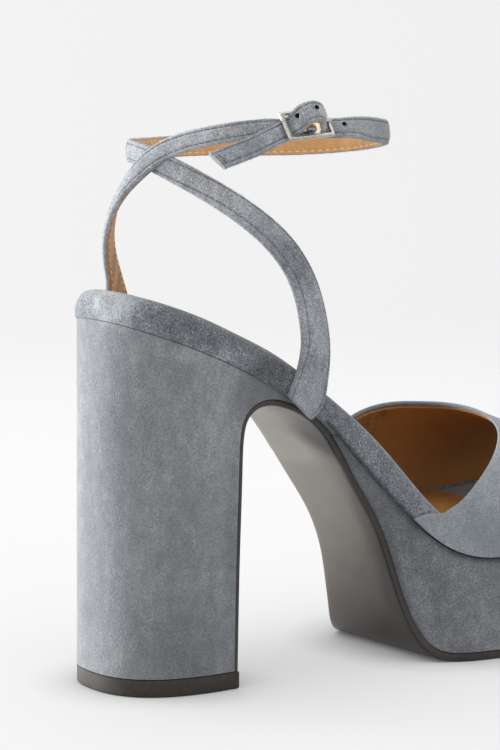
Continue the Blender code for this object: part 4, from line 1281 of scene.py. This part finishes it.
def along_line(line, normals, pitch, length, skip=0.0):
    """Short paths and normals for stitches along a line."""
    gone = gone_along(line)
    starts = np.arange(skip, gone[-1] - skip - length, pitch)
    at = starts[:, None] + np.linspace(0, length, STITCH_STEPS)[None, :]
    paths, ups = (xyz(*[np.interp(at, gone, axis) for axis in rows.T]) for rows in (line, normals))
    return paths, unit(ups)


def evaluated(piece):
    """Bakes a piece's modifiers into its mesh."""
    bpy.context.view_layer.update()
    graph = bpy.context.evaluated_depsgraph_get()
    mesh = bpy.data.meshes.new_from_object(piece.evaluated_get(graph))
    piece.modifiers.clear()
    piece.data = mesh
    return piece


def prism(name, rings):
    """A cutter with straight sides between two rings."""
    count = len(rings[0])
    faces = ring_faces(2, count).tolist() + [range(count), range(count, 2 * count)]
    return add_object(name, make_mesh(name, np.concatenate(rings), faces, [CUT]))


def round_cutter(name, start, end, radius):
    axis = unit(end - start)
    first = unit(np.cross(axis, ASKEW))
    second = np.cross(axis, first)
    turn = np.linspace(0, 2 * np.pi, HOLE_SIDES, endpoint=False)[:, None]
    ring = radius * (first * np.cos(turn) + second * np.sin(turn))
    return prism(name, [start + ring, end + ring])


def hole_cutters():
    """Cutters for the punched holes: the prong's lies along the prong, the others square to the strap."""
    ends = [in_buckle(along, 0, prong_out(along)) for along in (PRONG_HOLE_FROM, PRONG_HOLE_TO)]
    cutters = [round_cutter("hole_prong", *ends, PRONG_HOLE_RADIUS)]
    backwards = [-row.along for row in TAIL_IN_BUCKLE]
    path = Spline(backwards, [(row.across, row.out) for row in TAIL_IN_BUCKLE])
    for number, along in enumerate(HOLE_PLACES):
        around = np.array([0.0, SLOPE_STEP, -SLOPE_STEP]) - along
        (across, out), (_, behind), (_, ahead) = path(around)
        across += HOLE_ACROSS
        slope = (ahead - behind) / (2 * SLOPE_STEP)
        tip_out = HOLE_REACH / math.hypot(1, slope)
        tip_along = -slope * tip_out
        start = in_buckle(along - tip_along, across, out - tip_out)
        end = in_buckle(along + tip_along, across, out + tip_out)
        cutters.append(round_cutter(f"hole_{number}", start, end, HOLE_RADIUS))
    return cutters


def slot_cutter():
    back, front, half = -SLOT_BACK, SLOT_FRONT, SLOT_HALF
    corners = [(back, -half), (front, -half), (front, half), (back, half)]
    rings = [np.array([in_buckle(a, b, out) for a, b in corners]) for out in (-SLOT_DEEP, SLOT_DEEP)]
    return prism("prong_slot", rings)


def cut(piece, cutters):
    for cutter in cutters:
        modifier = piece.modifiers.new(cutter.name, "BOOLEAN")
        modifier.operation = "DIFFERENCE"
        modifier.solver = "EXACT"
        modifier.material_mode = "TRANSFER"
        modifier.object = cutter
    evaluated(piece)
    for cutter in cutters:
        bpy.data.objects.remove(cutter, do_unlink=True)
    return piece


def strap(name, rings, inside, cutters, grooves):
    finishes = [STRAP_SUEDE, inside, RAW_EDGE]
    piece = make_loft(name, rings, finishes, face_material=strap_finishes(rings), replaced="ankle_strap")
    return add_nap_and_shade(cut(piece, cutters), grooves)


def stitch_lines(rings, out):
    """Lines of points along both stitch rows, on the outer and on the inner face."""
    count = rings.shape[1]
    last_outer = count // 2
    at = EDGE_STEPS.index(STITCH_INSET)
    outer = [(rings[:, at], out), (rings[:, last_outer - at], out)]
    inner = [(rings[:, last_outer + at], -out), (rings[:, count - at], -out)]
    return outer, inner


def lateral_strap():
    """Sections and outward directions of the strap that runs round the ankle and through the buckle."""
    rows = LATERAL_STRAP + buckle_strap_rows(TAIL_IN_BUCKLE) + TAIL_END
    rings, out = strap_rings(rows, SEAM_SHIFT)
    tip = unit(rings[-1].mean(0) - rings[-2].mean(0))
    return slant(rings[::-1], TIP_SLANT, (0, 0, 1), tip)[::-1], out


def medial_strap():
    """Sections and outward directions of the strap that turns round the buckle's centre bar."""
    rows = MEDIAL_STRAP + buckle_strap_rows(STRAP_TO_BAR)
    rings, out = strap_rings(rows + fold_rows(), fold_from=len(rows))
    return slant(rings, -BASE_SLANT, (1, 0, 0), (0, 0, 1)), out


def tip_seam(rings, out):
    """Points and normals of the stitch row across a strap's tip."""
    at = EDGE_STEPS.index(STITCH_INSET)
    line = rings[-TIP_STITCH_ROW, at : rings.shape[1] // 2 - at + 1]
    return line, np.broadcast_to(out[-TIP_STITCH_ROW], line.shape)


def thread(name, stitches, radius, finish, slot):
    paths, normals = [np.concatenate(parts) for parts in zip(*stitches)]
    capsules(name, paths, normals, radius, finish, slot)


def ankle_strap():
    long, short = lateral_strap(), medial_strap()
    tip = tip_seam(*long)
    dark, pale = [], []
    for name, (rings, out), inside, cutters, ends in (
        ("strap_lateral", long, LINING, hole_cutters(), [tip]),
        ("strap_medial", short, SHADED_LINING, [slot_cutter()], []),
    ):
        outer, inner = stitch_lines(rings, out)
        # Painted shade beside the stitch lines on the suede
        grooves = np.concatenate([line for line, _ in outer + ends])
        add_fuzz(strap(name, rings, inside, cutters, grooves), STRAP_SUEDE)
        dark += [along_line(*seam, DARK_PITCH, DARK_STITCH, STITCH_SKIP) for seam in outer]
        pale += [along_line(*seam, PALE_PITCH, PALE_STITCH, STITCH_SKIP) for seam in inner]
    dark.append(along_line(*tip, DARK_PITCH, DARK_STITCH))
    thread("strap_thread", dark, DARK_RADIUS, THREAD, "suede")
    thread("lining_thread", pale, PALE_RADIUS, CREAM, "lining_leather")


def buckle_frame():
    half, length, width = CENTRE_BAR_HALF, FRAME_HALF_LENGTH, FRAME_HALF_WIDTH
    columns = (-length, REAR_BAR - length, -half, half, length - FRONT_BAR, length)
    rows = (-width, SIDE_BAR - width, width - SIDE_BAR, width)
    builder = bmesh.new()
    grid = {}
    for i, along in enumerate(columns):
        for j, across in enumerate(rows):
            back = in_buckle(along, across, frame_out(along) - FRAME_THICK / 2)
            grid[i, j] = builder.verts.new((back - ORIGIN) * MM)
    faces = []
    for i in range(len(columns) - 1):
        for j in range(len(rows) - 1):
            if (i, j) not in WINDOWS:
                corners = (grid[i, j], grid[i + 1, j], grid[i + 1, j + 1], grid[i, j + 1])
                faces.append(builder.faces.new(corners))
    raised = bmesh.ops.extrude_face_region(builder, geom=faces, use_keep_orig=True)
    moved = [part for part in raised["geom"] if isinstance(part, bmesh.types.BMVert)]
    bmesh.ops.translate(builder, verts=moved, vec=buckle_axes()[2] * FRAME_THICK * MM)
    mesh = bpy.data.meshes.new("buckle_metalwork")
    fill_mesh(mesh, builder)
    mesh.materials.append(METAL)
    piece = add_object("buckle_metalwork", mesh)
    bevel = piece.modifiers.new("soft_edges", "BEVEL")
    bevel.width = FRAME_BEVEL * MM
    bevel.segments = BEVEL_STEPS
    bevel.limit_method = "ANGLE"
    evaluated(piece)
    piece.data.shade_smooth()
    settle(piece, "buckle_frame")


def buckle_ridges():
    """Even ridges across the buckle's rear bar."""
    across = np.linspace(-RIDGE_SPAN, RIDGE_SPAN, RIDGES)[:, None]
    along = np.linspace(RIDGE_FROM, RIDGE_TO, STITCH_STEPS)[None, :]
    along, across = np.broadcast_arrays(along, across)
    paths = in_buckle(along, across, frame_out(along) + FRAME_THICK / 2)
    normals = np.broadcast_to(buckle_axes()[2], paths.shape)
    capsules("buckle_ridges", paths, normals, RIDGE_RADIUS, METAL, "buckle_metal")


def buckle_prong():
    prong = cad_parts["buckle_prong"]
    prong.data.materials.clear()
    prong.data.materials.append(METAL)


def camera():
    level = math.cos(CAMERA_RISE)
    ahead_x, ahead_y = math.sin(CAMERA_TURN) * level, math.cos(CAMERA_TURN) * level
    ahead = np.array([ahead_x, ahead_y, -math.sin(CAMERA_RISE)])
    lens = bpy.data.cameras.new("photo_camera")
    lens.sensor_fit = "VERTICAL"
    lens.sensor_height = SENSOR
    lens.lens = CAMERA_FOCAL * SENSOR / PHOTO_HEIGHT
    lens.clip_start = CLIP_START
    made = add_object("photo_camera", lens)
    made.location = (CAMERA_AIM - ahead * CAMERA_FAR - ORIGIN) * MM
    made.rotation_euler = (math.pi / 2 - CAMERA_RISE, 0, -CAMERA_TURN)
    bpy.context.scene.camera = made


def room():
    world = bpy.data.worlds.new("white_room")
    world.use_nodes = True
    tree = world.node_tree
    background = tree.nodes["Background"].inputs
    background["Color"].default_value = ROOM_COLOUR
    place = node(tree, "TexCoord")["Generated"]
    across = node(tree, "VectorMath", {0: place, 1: ROOM_ACROSS}, operation="DOT_PRODUCT")["Value"]
    height = node(tree, "SeparateXYZ", {"Vector": place})["Z"]
    sides = {"Value": across, "From Min": -1.0, "To Min": ROOM_LEFT, "To Max": ROOM_RIGHT}
    upper = {"Value": height, "From Min": ROOM_TOP_FROM, "To Max": ROOM_TOP}
    shares = [node(tree, "MapRange", values)["Result"] for values in (sides, upper)]
    tree.links.new(node(tree, "Math", enumerate(shares))[0], background["Strength"])
    bpy.context.scene.world = world
    bpy.context.scene.view_settings.view_transform = "Standard"


def key_light():
    lamp = bpy.data.lights.new("key", "AREA")
    lamp.shape = "RECTANGLE"
    lamp.size = KEY_WIDE
    lamp.size_y = KEY_HIGH
    lamp.energy = KEY_POWER
    made = add_object("key", lamp)
    from_side = unit(KEY_FROM)
    made.location = from_side * KEY_FAR
    tilt = math.atan2(math.hypot(from_side[0], from_side[1]), from_side[2])
    made.rotation_euler = (tilt, 0, math.atan2(from_side[1], from_side[0]) + math.pi / 2)


def floor_finish():
    """Pale floor that glows a little, the glow fading close to what stands on it as a painted contact
    shadow, and that fades out far away.
    """
    made, tree, inputs = start_material("white_floor", 0.9, 0.1)
    inputs["Base Color"].default_value = srgb(*FLOOR_COLOUR)
    inputs["Emission Color"].default_value = ROOM_COLOUR
    # Painted contact shadow: the floor's glow fades close to what stands on it
    free = node(tree, "AmbientOcclusion", {"Distance": FLOOR_NEAR})["AO"]
    tree.links.new(weigh(tree, [(free, FLOOR_GLOW)], 0.0), inputs["Emission Strength"])
    place = node(tree, "TexCoord")["Object"]
    far = node(tree, "VectorMath", {0: place}, operation="LENGTH")["Value"]
    fade = {"Value": far, "From Min": FLOOR_SOLID, "From Max": FLOOR_RADIUS, "To Min": 1.0, "To Max": 0.0}
    shown = node(tree, "MapRange", fade, interpolation_type="SMOOTHSTEP")["Result"]
    tree.links.new(shown, inputs["Alpha"])
    return made


def floor():
    builder = bmesh.new()
    bmesh.ops.create_circle(builder, cap_ends=True, segments=FLOOR_SIDES, radius=FLOOR_RADIUS)
    mesh = bpy.data.meshes.new("floor")
    builder.to_mesh(mesh)
    builder.free()
    mesh.materials.append(floor_finish())
    plane = add_object("floor", mesh)
    plane.location = (0, 0, -FLOOR_DROP)


def main():
    camera()
    for make in (footbed, sock_lining, outsole, platform, heel_block, heel_top_piece, vamp, ankle_strap):
        make()
    for make in (buckle_frame, buckle_ridges, buckle_prong, room, key_light, floor):
        make()


main()
